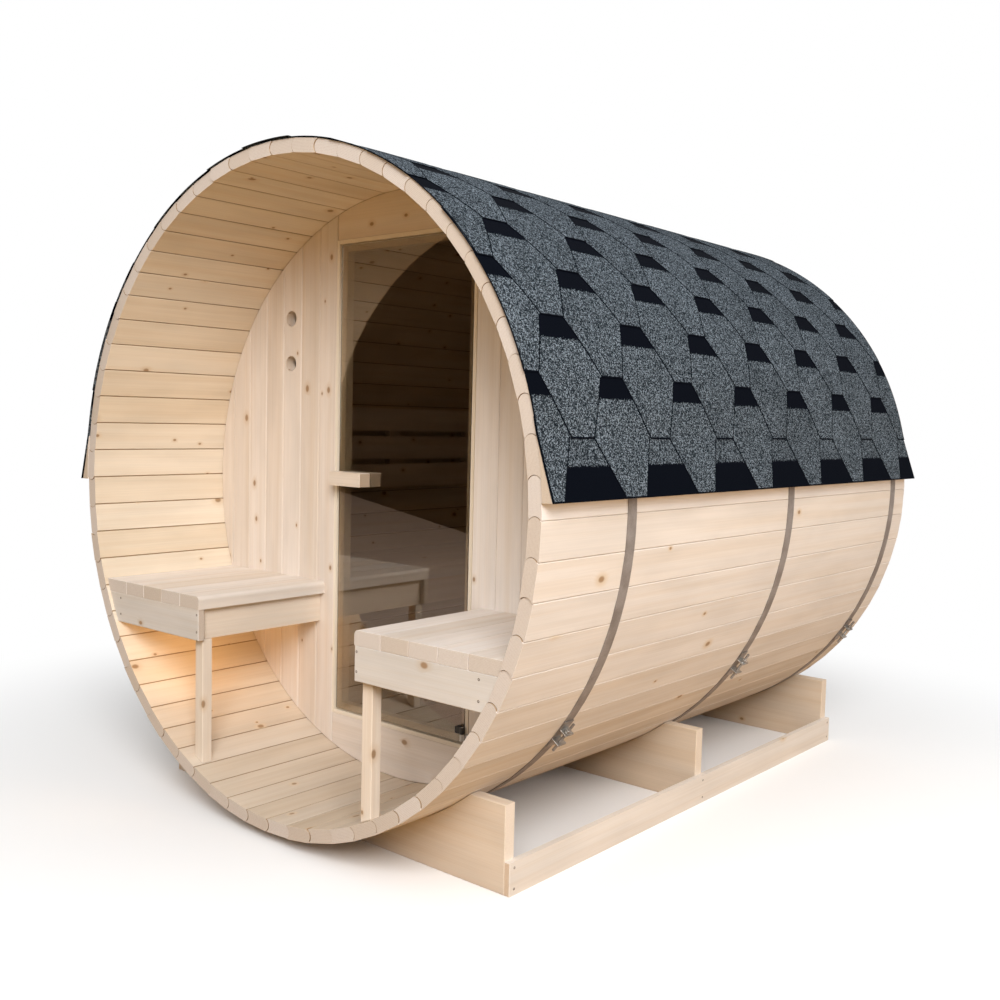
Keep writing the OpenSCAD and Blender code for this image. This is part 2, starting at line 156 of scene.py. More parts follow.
class Timber:
    """Boards gathered into one mesh, each with its grain direction and its chance numbers."""

    def __init__(self, seed):
        self.chance = np.random.default_rng(seed)
        self.points, self.faces, self.uv, self.board, self.end = [], [], [], [], []
        self.count = 0

    def add(self, shape, grain, place=None, tone=None):
        """Adds one carried outline. UV is (along the grain, sum of the other two) on long faces and
        the two cross coordinates on faces that look along the grain."""
        points, quads, caps = shape
        g = "xyz".index(grain)
        a, b = [k for k in range(3) if k != g]
        corner = points[quads]
        normal = np.cross(corner[:, 2] - corner[:, 0], corner[:, 3] - corner[:, 1])
        normal = normal / np.maximum(np.linalg.norm(normal, axis=1, keepdims=True), TINY)
        cut = np.abs(normal[:, g]) > CUT_ACROSS
        start = points[caps[0]]
        cap_cut = np.ptp(start[:, g]) < TINY
        loops = np.concatenate([quads.ravel(), *caps])
        flags = np.concatenate([np.repeat(cut, 4), np.full(2 * len(caps[0]), cap_cut)])
        p = points[loops]
        across = np.column_stack([p[:, a], p[:, b]])
        along = np.column_stack([p[:, g], p[:, a] + p[:, b]])
        self.uv.append(np.where(flags[:, None], across, along))
        faces = len(quads) + 2
        numbers = self.chance.random(3)
        if tone is not None:
            numbers[2] = tone
        self.board.append(np.tile(numbers, (faces, 1)))
        self.end.append(np.concatenate([cut, [cap_cut, cap_cut]]).astype(float))
        self.points.append(points if place is None else place(points))
        self.faces += (quads + self.count).tolist() + [(c + self.count).tolist() for c in caps]
        self.count += len(points)

    def piece(self, name, material, slot, nodes, body="sauna"):
        """Makes the mesh, hangs it on its body and lets it stand for its CAD nodes."""
        mesh = bpy.data.meshes.new(name)
        mesh.from_pydata(np.concatenate(self.points), [], self.faces)
        mesh.uv_layers.new(name="grain").data.foreach_set("uv", np.concatenate(self.uv).ravel())
        store(mesh, "board", "FLOAT_VECTOR", "FACE", self.board)
        store(mesh, "end", "FLOAT", "FACE", self.end)
        mesh.materials.append(material)
        return settle(name, mesh, nodes, body)


def settle(name, mesh, nodes, body):
    """Links a finished mesh at the origin, on its body and in place of its CAD nodes."""
    mesh.update()
    made = bpy.data.objects.new(name, mesh)
    bpy.context.scene.collection.objects.link(made)
    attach(made, body)
    if nodes:
        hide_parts(*nodes)
    print(f"{name}: {len(mesh.polygons)} faces")
    return made


# %% [markdown]
# ## Node helpers
# A material is a small graph. These helpers add a node in one line: a value sets a socket and another
# node's output is linked to it. Everything below is procedural, so there is no picture file to lose.

# %% Short ways to add nodes
WHITE = (1, 1, 1, 1)


def shader(name):
    """A new material with a Principled shader; returns the material, its tree and the shader."""
    material = bpy.data.materials.new(name)
    material.use_nodes = True
    tree = material.node_tree
    tree.nodes.clear()
    surface = tree.nodes.new("ShaderNodeBsdfPrincipled")
    output = tree.nodes.new("ShaderNodeOutputMaterial")
    tree.links.new(surface.outputs[0], output.inputs[0])
    return material, tree, surface


def node(tree, kind, inputs, **settings):
    """Adds a node and fills its inputs with values or links; returns its outputs."""
    made = tree.nodes.new("ShaderNode" + kind)
    for key, value in settings.items():
        setattr(made, key, value)
    for key, value in inputs.items():
        if isinstance(value, bpy.types.NodeSocket):
            tree.links.new(value, made.inputs[key])
        else:
            made.inputs[key].default_value = value
    return made.outputs


def calc(tree, operation, a, b=0.0, c=0.0):
    """One Math node."""
    return node(tree, "Math", {0: a, 1: b, 2: c}, operation=operation)[0]


def vector(tree, operation, a, b=(0, 0, 0), c=(0, 0, 0)):
    """One Vector Math node; LENGTH gives a number and the others a vector."""
    made = node(tree, "VectorMath", {0: a, 1: b, 2: c}, operation=operation)
    return made[1] if operation == "LENGTH" else made[0]


def mix(tree, factor, a, b):
    """Colour a where the factor is 0 and b where it is 1."""
    return node(tree, "Mix", {0: factor, 6: a, 7: b}, data_type="RGBA")[2]


def fade(tree, value, low, high, to_low=0.0, to_high=1.0):
    """Carries a value from the range low..high to the range to_low..to_high, with a soft start and end."""
    sockets = {"Value": value, "From Min": low, "From Max": high, "To Min": to_low, "To Max": to_high}
    return node(tree, "MapRange", sockets, interpolation_type="SMOOTHSTEP")[0]


def noise(tree, where, detail=3.0):
    """A noise value from 0 to 1 at a vector that is already scaled."""
    return node(tree, "TexNoise", {"Vector": where, "Scale": 1.0, "Detail": detail})[0]


print("node helpers ready")

# %% [markdown]
# ## Spruce
# The whole sauna is planed spruce: pale, with fine straight lines, faint streaks and small round knots.
# Streaks and lines are noise that is stretched along the grain. Knots are points of a cell pattern, kept in
# only some of the cells, and the grain bends round them. Cut ends show growth rings round a pith that lies
# off the board. How far a point lies from the barrel's axis tells the material where the outside, the
# joints and the trodden floor are.

# %% The wood material
KNOT = (0.33, 0.19, 0.09, 1)
KNOT_CELLS = (7.0, 10.5, 0)
SHIFT = (40, 40, 40)
STREAK = np.array([0.95, 0.915, 0.87])
# Painted light: a paler, bluer tint for the outside that stands in for daylight falling on it.
PAINTED_DAYLIGHT_TINT = (0.985, 1.04, 1.20, 1)
JOINT_SHADE = (0.50, 0.40, 0.30, 1)
JOINT_IN, JOINT_FADE, SKIN, SKIN_FADE = 0.0006, 0.0008, 0.004, 0.001
R_JOINT = R_IN / math.cos(PITCH / 2) + JOINT_IN
R_SKIN = R_OUT - SKIN
KNOT_BEND, RING_RATE, SAW_RATE = 0.009, 1700, 420
TRODDEN = np.array([0.18, 0.20, 0.20])
FLOOR_FROM, FLOOR_FULL = -0.60, -0.80
LATE_RING = np.array([0.84, 0.79, 0.75])
WARMER = np.array([1.0, 1.4, 2.0])


def shade_of(colour, factors):
    """A colour scaled channel by channel, with full alpha."""
    return (*(np.array(colour) * factors), 1)


def wood(name, pale, cut, knots=0.3, spread=0.10, roughness=0.6, trodden=0.0):
    """Spruce in one finish: pale is the planed face and cut the sawn end. knots is the share of cells
    with a knot. The barrel's outside has fewer of them, as the clear faces are turned outward. Painted
    daylight makes the outside and all wood beyond it paler and bluer, and painted shade darkens the faces
    inside the joints between its staves. The darkest board is darker than the palest by spread, most of all
    in blue. trodden darkens the floor inside the barrel."""
    material, tree, surface = shader(name)
    uv = node(tree, "UVMap", {}, uv_map="grain")[0]
    chance = node(tree, "Attribute", {}, attribute_name="board")["Vector"]
    end = node(tree, "Attribute", {}, attribute_name="end")["Fac"]
    numbers = node(tree, "SeparateXYZ", {0: chance})
    board = mix(tree, numbers[2], shade_of((1, 1, 1), 1 - spread * WARMER), WHITE)
    here = vector(tree, "MULTIPLY_ADD", chance, SHIFT, uv)
    cells = {"Vector": vector(tree, "MULTIPLY", here, KNOT_CELLS), "Scale": 1.0}
    cell = node(tree, "TexVoronoi", cells, voronoi_dimensions="2D")
    odds = node(tree, "SeparateColor", {0: cell["Color"]})
    spot = vector(tree, "SUBTRACT", node(tree, "TexCoord", {})["Object"], (0, 0, AXIS_Z))
    radial = vector(tree, "LENGTH", vector(tree, "MULTIPLY", spot, (1, 0, 1)))
    outside = fade(tree, radial, R_SKIN, R_SKIN + SKIN_FADE)
    kept = calc(tree, "LESS_THAN", odds[0], calc(tree, "MULTIPLY_ADD", outside, -0.7 * knots, knots))
    away = calc(tree, "MULTIPLY", cell["Distance"], fade(tree, odds[1], 0, 1, 0.8, 2.0))
    near = calc(tree, "MULTIPLY", fade(tree, away, 0.30, 0.02), kept)
    bent = vector(tree, "MULTIPLY_ADD", node(tree, "CombineXYZ", {1: near})[0], (0, KNOT_BEND, 0), here)
    streak = noise(tree, vector(tree, "MULTIPLY", bent, (1.1, 40, 1)))
    lines = noise(tree, vector(tree, "MULTIPLY", bent, (2.5, 300, 1)), 2.0)
    face = mix(tree, fade(tree, streak, 0.36, 0.74), (*pale, 1), shade_of(pale, STREAK))
    face = vector(tree, "MULTIPLY", face, fade(tree, lines, 0.30, 0.72, 1.015, 0.965))
    patch = noise(tree, vector(tree, "MULTIPLY", here, (3.0, 11, 1)))
    face = vector(tree, "MULTIPLY", face, fade(tree, patch, 0.30, 0.72, 1.03, 0.93))
    # Painted light: the outside and all wood beyond it are made paler and bluer, as daylight on them.
    face = vector(tree, "MULTIPLY", face, mix(tree, outside, WHITE, PAINTED_DAYLIGHT_TINT))
    # Painted shade: the faces inside the joints between staves, where light doesn't reach, are darkened.
    within = calc(tree, "SUBTRACT", fade(tree, radial, R_JOINT, R_JOINT + JOINT_FADE), outside)
    face = vector(tree, "MULTIPLY", face, mix(tree, within, WHITE, JOINT_SHADE))
    height = node(tree, "SeparateXYZ", {0: spot})[2]
    floor = calc(tree, "SUBTRACT", fade(tree, height, FLOOR_FROM, FLOOR_FULL), outside)
    walked = mix(tree, calc(tree, "MAXIMUM", floor, 0.0), WHITE, (*(1 - trodden * TRODDEN), 1))
    face = vector(tree, "MULTIPLY", face, walked)
    halo = calc(tree, "MULTIPLY", fade(tree, away, 0.22, 0.05, 0.0, 0.75), kept)
    core = calc(tree, "MULTIPLY", fade(tree, away, 0.092, 0.040, 0.0, 0.85), kept)
    face = mix(tree, core, mix(tree, halo, face, shade_of(pale, STREAK**3)), KNOT)
    pith = vector(tree, "MULTIPLY_ADD", chance, (0.16, 0.12, 0), vector(tree, "ADD", uv, (0.0, -0.06, 0)))
    rings = calc(tree, "SINE", calc(tree, "MULTIPLY", vector(tree, "LENGTH", pith), RING_RATE))
    sawn = noise(tree, vector(tree, "MULTIPLY", here, (SAW_RATE, SAW_RATE, 1)), 2.0)
    ring_mix = calc(tree, "MULTIPLY", fade(tree, rings, -1.0, 1.0), fade(tree, sawn, 0.2, 0.7))
    ends = mix(tree, ring_mix, (*cut, 1), shade_of(cut, LATE_RING))
    colour = vector(tree, "MULTIPLY", mix(tree, end, face, ends), board)
    tree.links.new(colour, surface.inputs["Base Color"])
    shine = fade(tree, streak, 0.3, 0.8, roughness - 0.06, roughness + 0.08)
    tree.links.new(shine, surface.inputs["Roughness"])
    bump = node(tree, "Bump", {"Height": lines, "Strength": 0.2, "Distance": 0.0005})
    tree.links.new(bump[0], surface.inputs["Normal"])
    surface.inputs["Specular IOR Level"].default_value = 0.25
    return material


stave_wood = wood("stave_spruce", (0.84, 0.735, 0.60), (0.70, 0.63, 0.575), 0.40, 0.10, trodden=1.0)
wall_wood = wood("wall_spruce", (0.81, 0.72, 0.645), (0.66, 0.55, 0.45), 0.24, 0.09)
# Painted light: a paler copy of the wall wood for the boards right of the door, which lie in shade.
painted_light_wall_wood = wood("pale_wall_spruce", (0.87, 0.80, 0.745), (0.66, 0.55, 0.45), 0.24, 0.09)
frame_wood = wood("frame_spruce", (0.86, 0.77, 0.64), (0.62, 0.53, 0.43), 0.0, 0.06)
handle_wood = wood("handle_spruce", (0.74, 0.64, 0.54), (0.52, 0.40, 0.29), 0.0)
seat_wood = wood("seat_spruce", (0.84, 0.775, 0.725), (0.70, 0.635, 0.58), 0.12, 0.10)
bench_wood = wood("bench_spruce", (0.85, 0.745, 0.64), (0.62, 0.53, 0.45), 0.14, 0.06)
# Painted shade: a greyer, bluer copy of the bench wood for the bench fronts, as they look in cool shade.
painted_shade_front_wood = wood("bench_front_spruce", (0.70, 0.655, 0.61), (0.62, 0.53, 0.45), 0.14, 0.06)
lath_wood = wood("lath_spruce", (0.80, 0.68, 0.54), (0.64, 0.54, 0.44), 0.1)
cradle_wood = wood("cradle_spruce", (0.78, 0.635, 0.455), (0.82, 0.71, 0.60), 0.2)
rail_wood = wood("rail_spruce", (0.84, 0.74, 0.60), (0.78, 0.65, 0.52), 0.25)
print("eleven finishes of spruce, from the pale staves to the tan cradle")

# %% [markdown]
# ## Staves
# Sixty-four narrow staves make the barrel. Each has a round bead on one edge and a matching cove on the
# other, so that they hold together at any angle without glue. The outline follows the solid: outside face,
# bead, inside face, cove. Above and below the bead the edges stand back a little, which draws the thin dark
# joints. The ends aren't quite flush, since each stave was cut on its own.

# %% The stave's outline
BEAD_R, BEAD_OUT, STAVE_GAP, COVE_PLAY = 0.019, 0.0085, 0.0004, 0.0011
EASE_OUT, EASE_IN = 0.0022, 0.0010
BACK_OUT, BACK_IN = 0.0005, 0.0018
STAVE_ARRIS, UNEVEN = 0.0003, 0.004
OUTER_POINTS, INNER_POINTS, BEAD_POINTS = 5, 4, 13


def stave_outline():
    """Corners are arcs of a quarter turn, set back from the joint. Bead and cove are arcs between the angles
    at which the circle meets the stave's edge: sin a - h cos a = k with h the tangent of half the pitch."""
    h = math.tan(PITCH / 2)
    slip = STAVE_GAP / 2 / math.cos(PITCH / 2)
    r_mid = (R_IN + R_OUT) / 2
    bead = np.array([r_mid, r_mid * h - BEAD_R + BEAD_OUT])
    c, s = math.cos(PITCH), math.sin(PITCH)
    cove = np.array([bead[0] * c + bead[1] * s, bead[1] * c - bead[0] * s])
    lean = math.atan(h)

    def meeting(reach, radius):
        angle = math.asin(reach / radius / math.hypot(1, h))
        return lean + angle, math.pi + lean - angle

    up, down = meeting(BEAD_R - BEAD_OUT - slip, BEAD_R)
    cove_r = BEAD_R + COVE_PLAY
    cove_up, cove_down = meeting(BEAD_R - BEAD_OUT + slip, cove_r)
    outer = R_OUT * h - slip - EASE_OUT - BACK_OUT
    inner = R_IN * h - slip - EASE_IN - BACK_IN
    quarter = math.pi / 2
    return np.concatenate([
        arc((R_OUT - EASE_OUT, -outer), EASE_OUT, -quarter, 0, OUTER_POINTS),
        arc((R_OUT - EASE_OUT, outer), EASE_OUT, 0, quarter, OUTER_POINTS),
        arc(bead, BEAD_R, up, down, BEAD_POINTS),
        arc((R_IN + EASE_IN, inner), EASE_IN, quarter, 2 * quarter, INNER_POINTS),
        arc((R_IN + EASE_IN, -inner), EASE_IN, 2 * quarter, 3 * quarter, INNER_POINTS),
        arc(cove, cove_r, cove_down - PITCH, cove_up - PITCH, BEAD_POINTS),
    ])


stave_line = stave_outline()
print(f"a stave's outline has {len(stave_line)} points")

# %% Sixty-four staves in eight groups
GROUPS = (
    "upper_right", "top_right", "top_left", "upper_left",
    "lower_left", "bottom_left", "bottom_right", "lower_right",
)
per_group = STAVES // len(GROUPS)
for g, group in enumerate(GROUPS):
    timber = Timber(100 + g)
    for k in range(g * per_group, (g + 1) * per_group):
        short = UNEVEN * timber.chance.random(2)
        stave = carry(stave_line, "y", (Y_FRONT + short[0], Y_BACK - short[1]), STAVE_ARRIS)
        timber.add(stave, "y", about_axis((k + 0.5) * PITCH))
    timber.piece(f"barrel_staves_{group}", stave_wood, "stave_wood", [f"staves_{group}"])

# %% [markdown]
# ## Walls
# The front wall stands half a metre inside the barrel and is made of upright boards, cut round at their
# ends. The rear wall is the same without a door. A board's top and bottom edge follow z = sqrt(r² - x²),
# the chamfer of the carried outline leaves a fine V groove at each joint, and a tongue in the joint keeps
# the light out.

# %% Upright boards
BOARD_W = 0.092
BOARD_GAP = 0.0014
GROOVE = 0.0024
TONGUE_SHARE, TONGUE_ARRIS = 0.35, BOARD_GAP / 8
UPRIGHT_POINTS, LYING_POINTS = 9, 24


def round_edge(x, radius):
    """Half the height of a disc at x."""
    return np.sqrt(np.maximum(radius**2 - np.asarray(x) ** 2, 0))


def upright(x0, x1):
    """Outline of a board that reaches across the whole disc between x0 and x1."""
    x = np.linspace(x0 + BOARD_GAP / 2, x1 - BOARD_GAP / 2, UPRIGHT_POINTS)
    z = round_edge(x, R_WALL)
    top = np.column_stack([x[::-1], AXIS_Z + z[::-1]])
    return np.concatenate([np.column_stack([x, AXIS_Z - z]), top])


def wall_boards(seed, edges, y_range):
    """A row of upright boards between the seams in edges, with a tongue in the middle of each joint."""
    timber = Timber(seed)
    for x0, x1 in zip(edges[:-1], edges[1:]):
        timber.add(carry(upright(x0, x1), "y", y_range, GROOVE), "z")
    inset = TONGUE_SHARE * (y_range[1] - y_range[0])
    for x in edges[1:-1]:
        tongue = upright(x - BOARD_GAP, x + BOARD_GAP)
        timber.add(carry(tongue, "y", (y_range[0] + inset, y_range[1] - inset), TONGUE_ARRIS), "z")
    return timber


left_lo, left_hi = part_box("front_wall_left")
right_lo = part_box("front_wall_right")[0]
wall_y = (left_lo.y, left_hi.y)
FIRST_BOARD, NARROWEST, RIM_SHARE = 0.083, 0.03, 0.9992
rim = R_WALL * RIM_SHARE
left_edges = [left_hi.x, *np.arange(left_hi.x - FIRST_BOARD, -rim + NARROWEST, -BOARD_W), -rim][::-1]
right_edges = [right_lo.x, *np.arange(right_lo.x + BOARD_W, rim - NARROWEST, BOARD_W), rim]
half_row = np.arange(BOARD_W / 2, rim - NARROWEST, BOARD_W)
rear_edges = [-rim, *(-half_row[::-1]), *half_row, rim]
left_boards = wall_boards(201, left_edges, wall_y)
right_boards = wall_boards(202, right_edges, wall_y)
rear_boards = wall_boards(203, rear_edges, (rear_lo.y, rear_hi.y))
left_wall = left_boards.piece("front_boards_left", wall_wood, "wall_wood", ["front_wall_left"])
# The boards right of the door take the paler copy of the wall wood, painted light over their shade.
right_boards.piece("front_boards_right", painted_light_wall_wood, "wall_wood", ["front_wall_right"])
rear_boards.piece("rear_boards", wall_wood, "wall_wood", ["rear_wall"])
print(f"{len(left_edges) - 1} boards left of the door, {len(right_edges) - 1} right")

# %% [markdown]
# ## Vents
# Two round holes left of the door let air through. A hole doesn't fit a carried outline, so this is one
# place for a Boolean: two plugs are taken out of the wall, and the result replaces the wall's mesh. The
# record's vent mounts say where the holes are and how wide.

# %% Bore the vents
VENT_POINTS, PLUG_PAST = 48, 0.01
plugs = Timber(204)
for mount in frame["record"]["mounts"]:
    if mount["name"].startswith("vent"):
        x, y, z = mount["pos_m"]
        disc = arc((x, z), mount["dims"]["r_mm"] / 1000, 0, 2 * math.pi, VENT_POINTS + 1)[:-1]
        plugs.add(carry(disc, "y", (wall_y[0] - PLUG_PAST, wall_y[1] + PLUG_PAST)), "z")
plug_mesh = bpy.data.meshes.new("vent_plugs")
plug_mesh.from_pydata(np.concatenate(plugs.points), [], plugs.faces)
plug_mesh.uv_layers.new(name="grain").data.foreach_set("uv", np.concatenate(plugs.uv).ravel())
plug = bpy.data.objects.new("vent_plugs", plug_mesh)
bpy.context.scene.collection.objects.link(plug)
bore = left_wall.modifiers.new("vents", "BOOLEAN")
bore.operation = "DIFFERENCE"
bore.solver = "EXACT"
bore.object = plug
bored = bpy.data.meshes.new_from_object(left_wall.evaluated_get(bpy.context.evaluated_depsgraph_get()))
left_wall.modifiers.clear()
left_wall.data = bored
bpy.data.objects.remove(plug)
print(f"wall with vents: {len(bored.polygons)} faces")

# %% [markdown]
# ## Over and under the door
# The doorway leaves a short piece of wall above and below it. Each is one lying board whose far edge
# follows the barrel.

# %% Header and sill
def lying_outline(lo, hi, side):
    """A board between two uprights; its upper (side 1) or lower (side -1) edge follows the barrel."""
    x = np.linspace(lo.x + BOARD_GAP, hi.x - BOARD_GAP, LYING_POINTS)
    curve = AXIS_Z + side * round_edge(x, R_WALL)
    flat = lo.z if side > 0 else hi.z
    return np.concatenate([np.column_stack([x, curve]), [(x[-1], flat), (x[0], flat)]])


for name, side in (("front_wall_header", 1), ("front_wall_sill", -1)):
    lo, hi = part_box(name)
    timber = Timber(210 + side)
    timber.add(carry(lying_outline(lo, hi, side), "y", wall_y, GROOVE), "x")
    timber.piece(name + "_board", wall_wood, "wall_wood", [name])

# %% [markdown]
# ## Door frame
# Jambs and rails have a thin lip beside the glass and a wider stop behind it. A jamb is an L-shaped outline
# carried upward. The rails sit between the jambs, lip and stop each with its own length.

# %% Jambs and rails
LIP, STOP, REBATE, FINE_ARRIS = 0.012, 0.024, 0.018, 0.001
jamb_lo, jamb_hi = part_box("door_jambs")
jambs = Timber(220)
for x, side in ((jamb_lo.x, 1), (jamb_hi.x, -1)):
    lip, stop = x + side * LIP, x + side * (LIP + STOP)
    y_in = jamb_lo.y + REBATE
    section = [(x, jamb_lo.y), (lip, jamb_lo.y), (lip, y_in), (stop, y_in), (stop, jamb_hi.y), (x, jamb_hi.y)]
    jambs.add(carry(section, "z", (jamb_lo.z, jamb_hi.z), FINE_ARRIS), "z")
jambs.piece("door_frame_jambs", frame_wood, "frame_wood", ["door_jambs"])
rails = Timber(221)
for z, side in ((jamb_lo.z, 1), (jamb_hi.z, -1)):
    lip_z, stop_z = z + side * LIP, z + side * (LIP + STOP)
    y_in = jamb_lo.y + REBATE
    lip_x = (jamb_lo.x + LIP, jamb_hi.x - LIP)
    stop_x = (lip_x[0] + STOP, lip_x[1] - STOP)
    rails.add(carry(box_outline((jamb_lo.y, z), (y_in, lip_z)), "x", lip_x, FINE_ARRIS), "x")
    rails.add(carry(box_outline((y_in, z), (jamb_hi.y, stop_z)), "x", stop_x, FINE_ARRIS), "x")
rails.piece("door_frame_rails", frame_wood, "frame_wood", ["door_rails"])

# %% [markdown]
# ## Handle
# The handle is a pair of plain wooden blocks, one on each face of the glass. The outer one reaches the
# jamb, and the inner one, which shows through the glass, stops short of it so that the door can close. Only
# the eased edges need modelling. Both ride on the door.

# %% The handle blocks
HANDLE_CLEAR = 0.008
handle_lo, handle_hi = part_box("door_handle")
glass_lo, glass_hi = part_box("door_glass")
inner_x = jamb_lo.x + LIP + STOP + HANDLE_CLEAR
blocks = Timber(230)
for x, y0, y1 in ((handle_lo.x, handle_lo.y, glass_lo.y), (inner_x, glass_hi.y, handle_hi.y)):
    section = box_outline((y0, handle_lo.z), (y1, handle_hi.z))
    blocks.add(carry(section, "x", (x, handle_hi.x)), "x", tone=1.0)
blocks.piece("handle_blocks", handle_wood, "handle_wood", ["door_handle"], "door")

# %% [markdown]
# ## Benches
# Seats are slats that run along the barrel. The innermost has a rounded edge for the knees, and the
# outermost is cut to the barrel's curve. A slat's outer side follows x = sqrt(r² - z²), so the same
# function makes whole slats and cut ones. Porch and cabin have the same benches at different depths.

# %% Slats
SLAT_W, SLAT_STEP, KNEE_R, SLAT_ARRIS = 0.097, 0.099, 0.013, 0.0006
LEAST_W, CURVE_POINTS, KNEE_POINTS = 0.004, 8, 7


def under_round(x0, x1, z0, z1):
    """A rectangle between heights over the axis, cut on its outer side by the barrel."""
    reach = round_edge(np.array([z0, z1]), R_WALL)
    low = z0 if x0 < reach[0] - LEAST_W else -float(round_edge(x0 + LEAST_W, R_WALL))
    z = np.linspace(low, z1, CURVE_POINTS)
    outer = np.minimum(x1, round_edge(z, R_WALL))
    return np.concatenate([np.column_stack([outer, z]), [(x0, z1), (x0, low)]])


def knee_slat(x0, x1, z0, z1):
    """The innermost slat: its upper inner edge is a quarter round."""
    knee = arc((x0 + KNEE_R, z1 - KNEE_R), KNEE_R, math.pi / 2, math.pi, KNEE_POINTS)
    return np.concatenate([knee, [(x0, z0), (x1, z0), (x1, z1)]])


def sided(outline, side):
    """Mirrors an outline to the left side if needed and lifts it to the axis."""
    return np.asarray(outline) * (side, 1) + (0, AXIS_Z)


def bench_seat(name, node_name, side, seed):
    """As many slats as fit between the knee edge and the barrel; the last one runs on to the staves."""
    lo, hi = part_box(node_name)
    inner = lo.x if side > 0 else -hi.x
    z0, z1 = lo.z - AXIS_Z, hi.z - AXIS_Z
    timber = Timber(seed)
    count = int((float(round_edge(z1, R_WALL)) - inner) / SLAT_STEP)
    for k in range(count):
        x = inner + k * SLAT_STEP
        outer = x + SLAT_W if k < count - 1 else R_OUT
        outline = knee_slat(x, outer, z0, z1) if k == 0 else under_round(x, outer, z0, z1)
        timber.add(carry(sided(outline, side), "y", (lo.y, hi.y), SLAT_ARRIS), "y")
    timber.piece(name, seat_wood, "seat_wood", [node_name])


bench_seat("porch_slats_left", "porch_seat_left", -1, 301)
bench_seat("porch_slats_right", "porch_seat_right", 1, 302)
bench_seat("cabin_slats_left", "cabin_seat_left", -1, 303)
bench_seat("cabin_slats_right", "cabin_seat_right", 1, 304)

# %% Boards under the slats and the legs
SIDE_T, LEG_W, FRONT_LIP, BENCH_ARRIS, FRONT_TONE, FOOT_POINTS = 0.027, 0.038, 0.002, 0.0018, 0.9, 5


def two_sides(name, node_name, seed, grain, outline_of):
    """A node with a right and a left solid: the box gives the outermost faces of both."""
    lo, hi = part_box(node_name)
    timber = Timber(seed)
    for side, face in ((1, hi.x), (-1, -lo.x)):
        outline = outline_of(face, lo.z - AXIS_Z, hi.z - AXIS_Z)
        timber.add(carry(sided(outline, side), "y", (lo.y, hi.y), BENCH_ARRIS), grain)
    timber.piece(name, bench_wood, "bench_wood", [node_name])


def leg_outline(face, z0, z1):
    """A leg's foot follows the barrel's inside."""
    x = np.linspace(face - LEG_W, face, FOOT_POINTS)
    foot = np.column_stack([x, -round_edge(x, R_WALL)])
    return np.concatenate([foot, [(face, z1), (face - LEG_W, z1)]])


def side_board(face, z0, z1):
    """The board under a seat's inner edge."""
    return box_outline((face - SIDE_T, z0), (face, z1))


two_sides("porch_aprons_side", "porch_side_boards", 310, "y", side_board)
two_sides("cabin_aprons_side", "cabin_side_boards", 311, "y", side_board)
two_sides("porch_bench_legs", "porch_legs", 312, "z", leg_outline)
front_lo, front_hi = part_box("porch_front_boards")
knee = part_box("porch_seat_right")[0].x
front_line = under_round(knee + FRONT_LIP, R_OUT, front_lo.z - AXIS_Z, front_hi.z - AXIS_Z)
# The bench fronts take the greyer copy of the bench wood, painted shade.
fronts = Timber(313)
for side in (1, -1):
    board = carry(sided(front_line, side), "y", (front_lo.y, front_hi.y), BENCH_ARRIS)
    fronts.add(board, "x", tone=FRONT_TONE)
fronts.piece("porch_aprons_front", painted_shade_front_wood, "bench_wood", ["porch_front_boards"])

# %% [markdown]
# ## Backrests
# Through the glass a slatted backrest shows on the cabin's left wall: three lying boards on upright
# battens. The right one repeats it.

# %% Slatted backrests
BACK_T, BACK_H, BACK_STEP, BACK_ROWS = 0.019, 0.092, 0.114, 3
BATTEN_W, BATTEN_AT = 0.060, (0.2, 0.5, 0.8)
for side, node_name in ((1, "cabin_backrest_right"), (-1, "cabin_backrest_left")):
    lo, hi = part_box(node_name)
    timber = Timber(320 + side)
    face, wall_side = (lo.x, hi.x) if side > 0 else (hi.x, lo.x)
    behind = face + side * BACK_T
    for z in lo.z + BACK_STEP * np.arange(BACK_ROWS):
        timber.add(carry(box_outline((face, z), (behind, z + BACK_H)), "y", (lo.y, hi.y)), "y")
    for share in BATTEN_AT:
        y = lo.y + share * (hi.y - lo.y)
        section = box_outline((behind, y - BATTEN_W / 2), (wall_side, y + BATTEN_W / 2))
        timber.add(carry(section, "z", (lo.z, hi.z)), "z")
    timber.piece(node_name + "_boards", seat_wood, "seat_wood", [node_name])

# %% [markdown]
# ## Cradle
# Three boards on edge carry the barrel in a round seat, tied by a rail along each side. The seat is an arc
# about the barrel's axis between the points where the circle meets the board's top.

# %% Cradle boards and rails
CRADLES = ("cradle_front", "cradle_middle", "cradle_rear")
CRADLE_ARRIS, RAIL_T, SEAT_POINTS = 0.002, 0.018, 41


def cradle_outline(half, height):
    """Bottom edge, two ends, two short tops and the arc of the seat."""
    end = math.sqrt(R_SEAT**2 - (AXIS_Z - height) ** 2)
    angle = math.asin(end / R_SEAT)
    seat = arc((0, AXIS_Z), R_SEAT, -math.pi / 2 + angle, -math.pi / 2 - angle, SEAT_POINTS)
    return np.concatenate([[(-half, 0), (half, 0), (half, height)], seat, [(-half, height)]])


for k, name in enumerate(CRADLES):
    lo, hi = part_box(name)
    timber = Timber(330 + k)
    timber.add(carry(cradle_outline(hi.x, hi.z), "y", (lo.y, hi.y), CRADLE_ARRIS), "x")
    timber.piece(name + "_board", cradle_wood, "cradle_wood", [name])
rail_lo, rail_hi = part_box("side_rails")
timber = Timber(335)
for x0, x1 in ((rail_lo.x, rail_lo.x + RAIL_T), (rail_hi.x - RAIL_T, rail_hi.x)):
    section = box_outline((x0, rail_lo.z), (x1, rail_hi.z))
    timber.add(carry(section, "y", (rail_lo.y, rail_hi.y), CRADLE_ARRIS), "y")
timber.piece("cradle_side_rails", rail_wood, "rail_wood", ["side_rails"])

# %% [markdown]
# ## Eave laths
# A wedge-shaped lath under each eave turns the lowest shingles outward, so that rain drips clear of the
# staves. The whole roof sits slightly turned on the barrel, right eave up, as in the photograph.

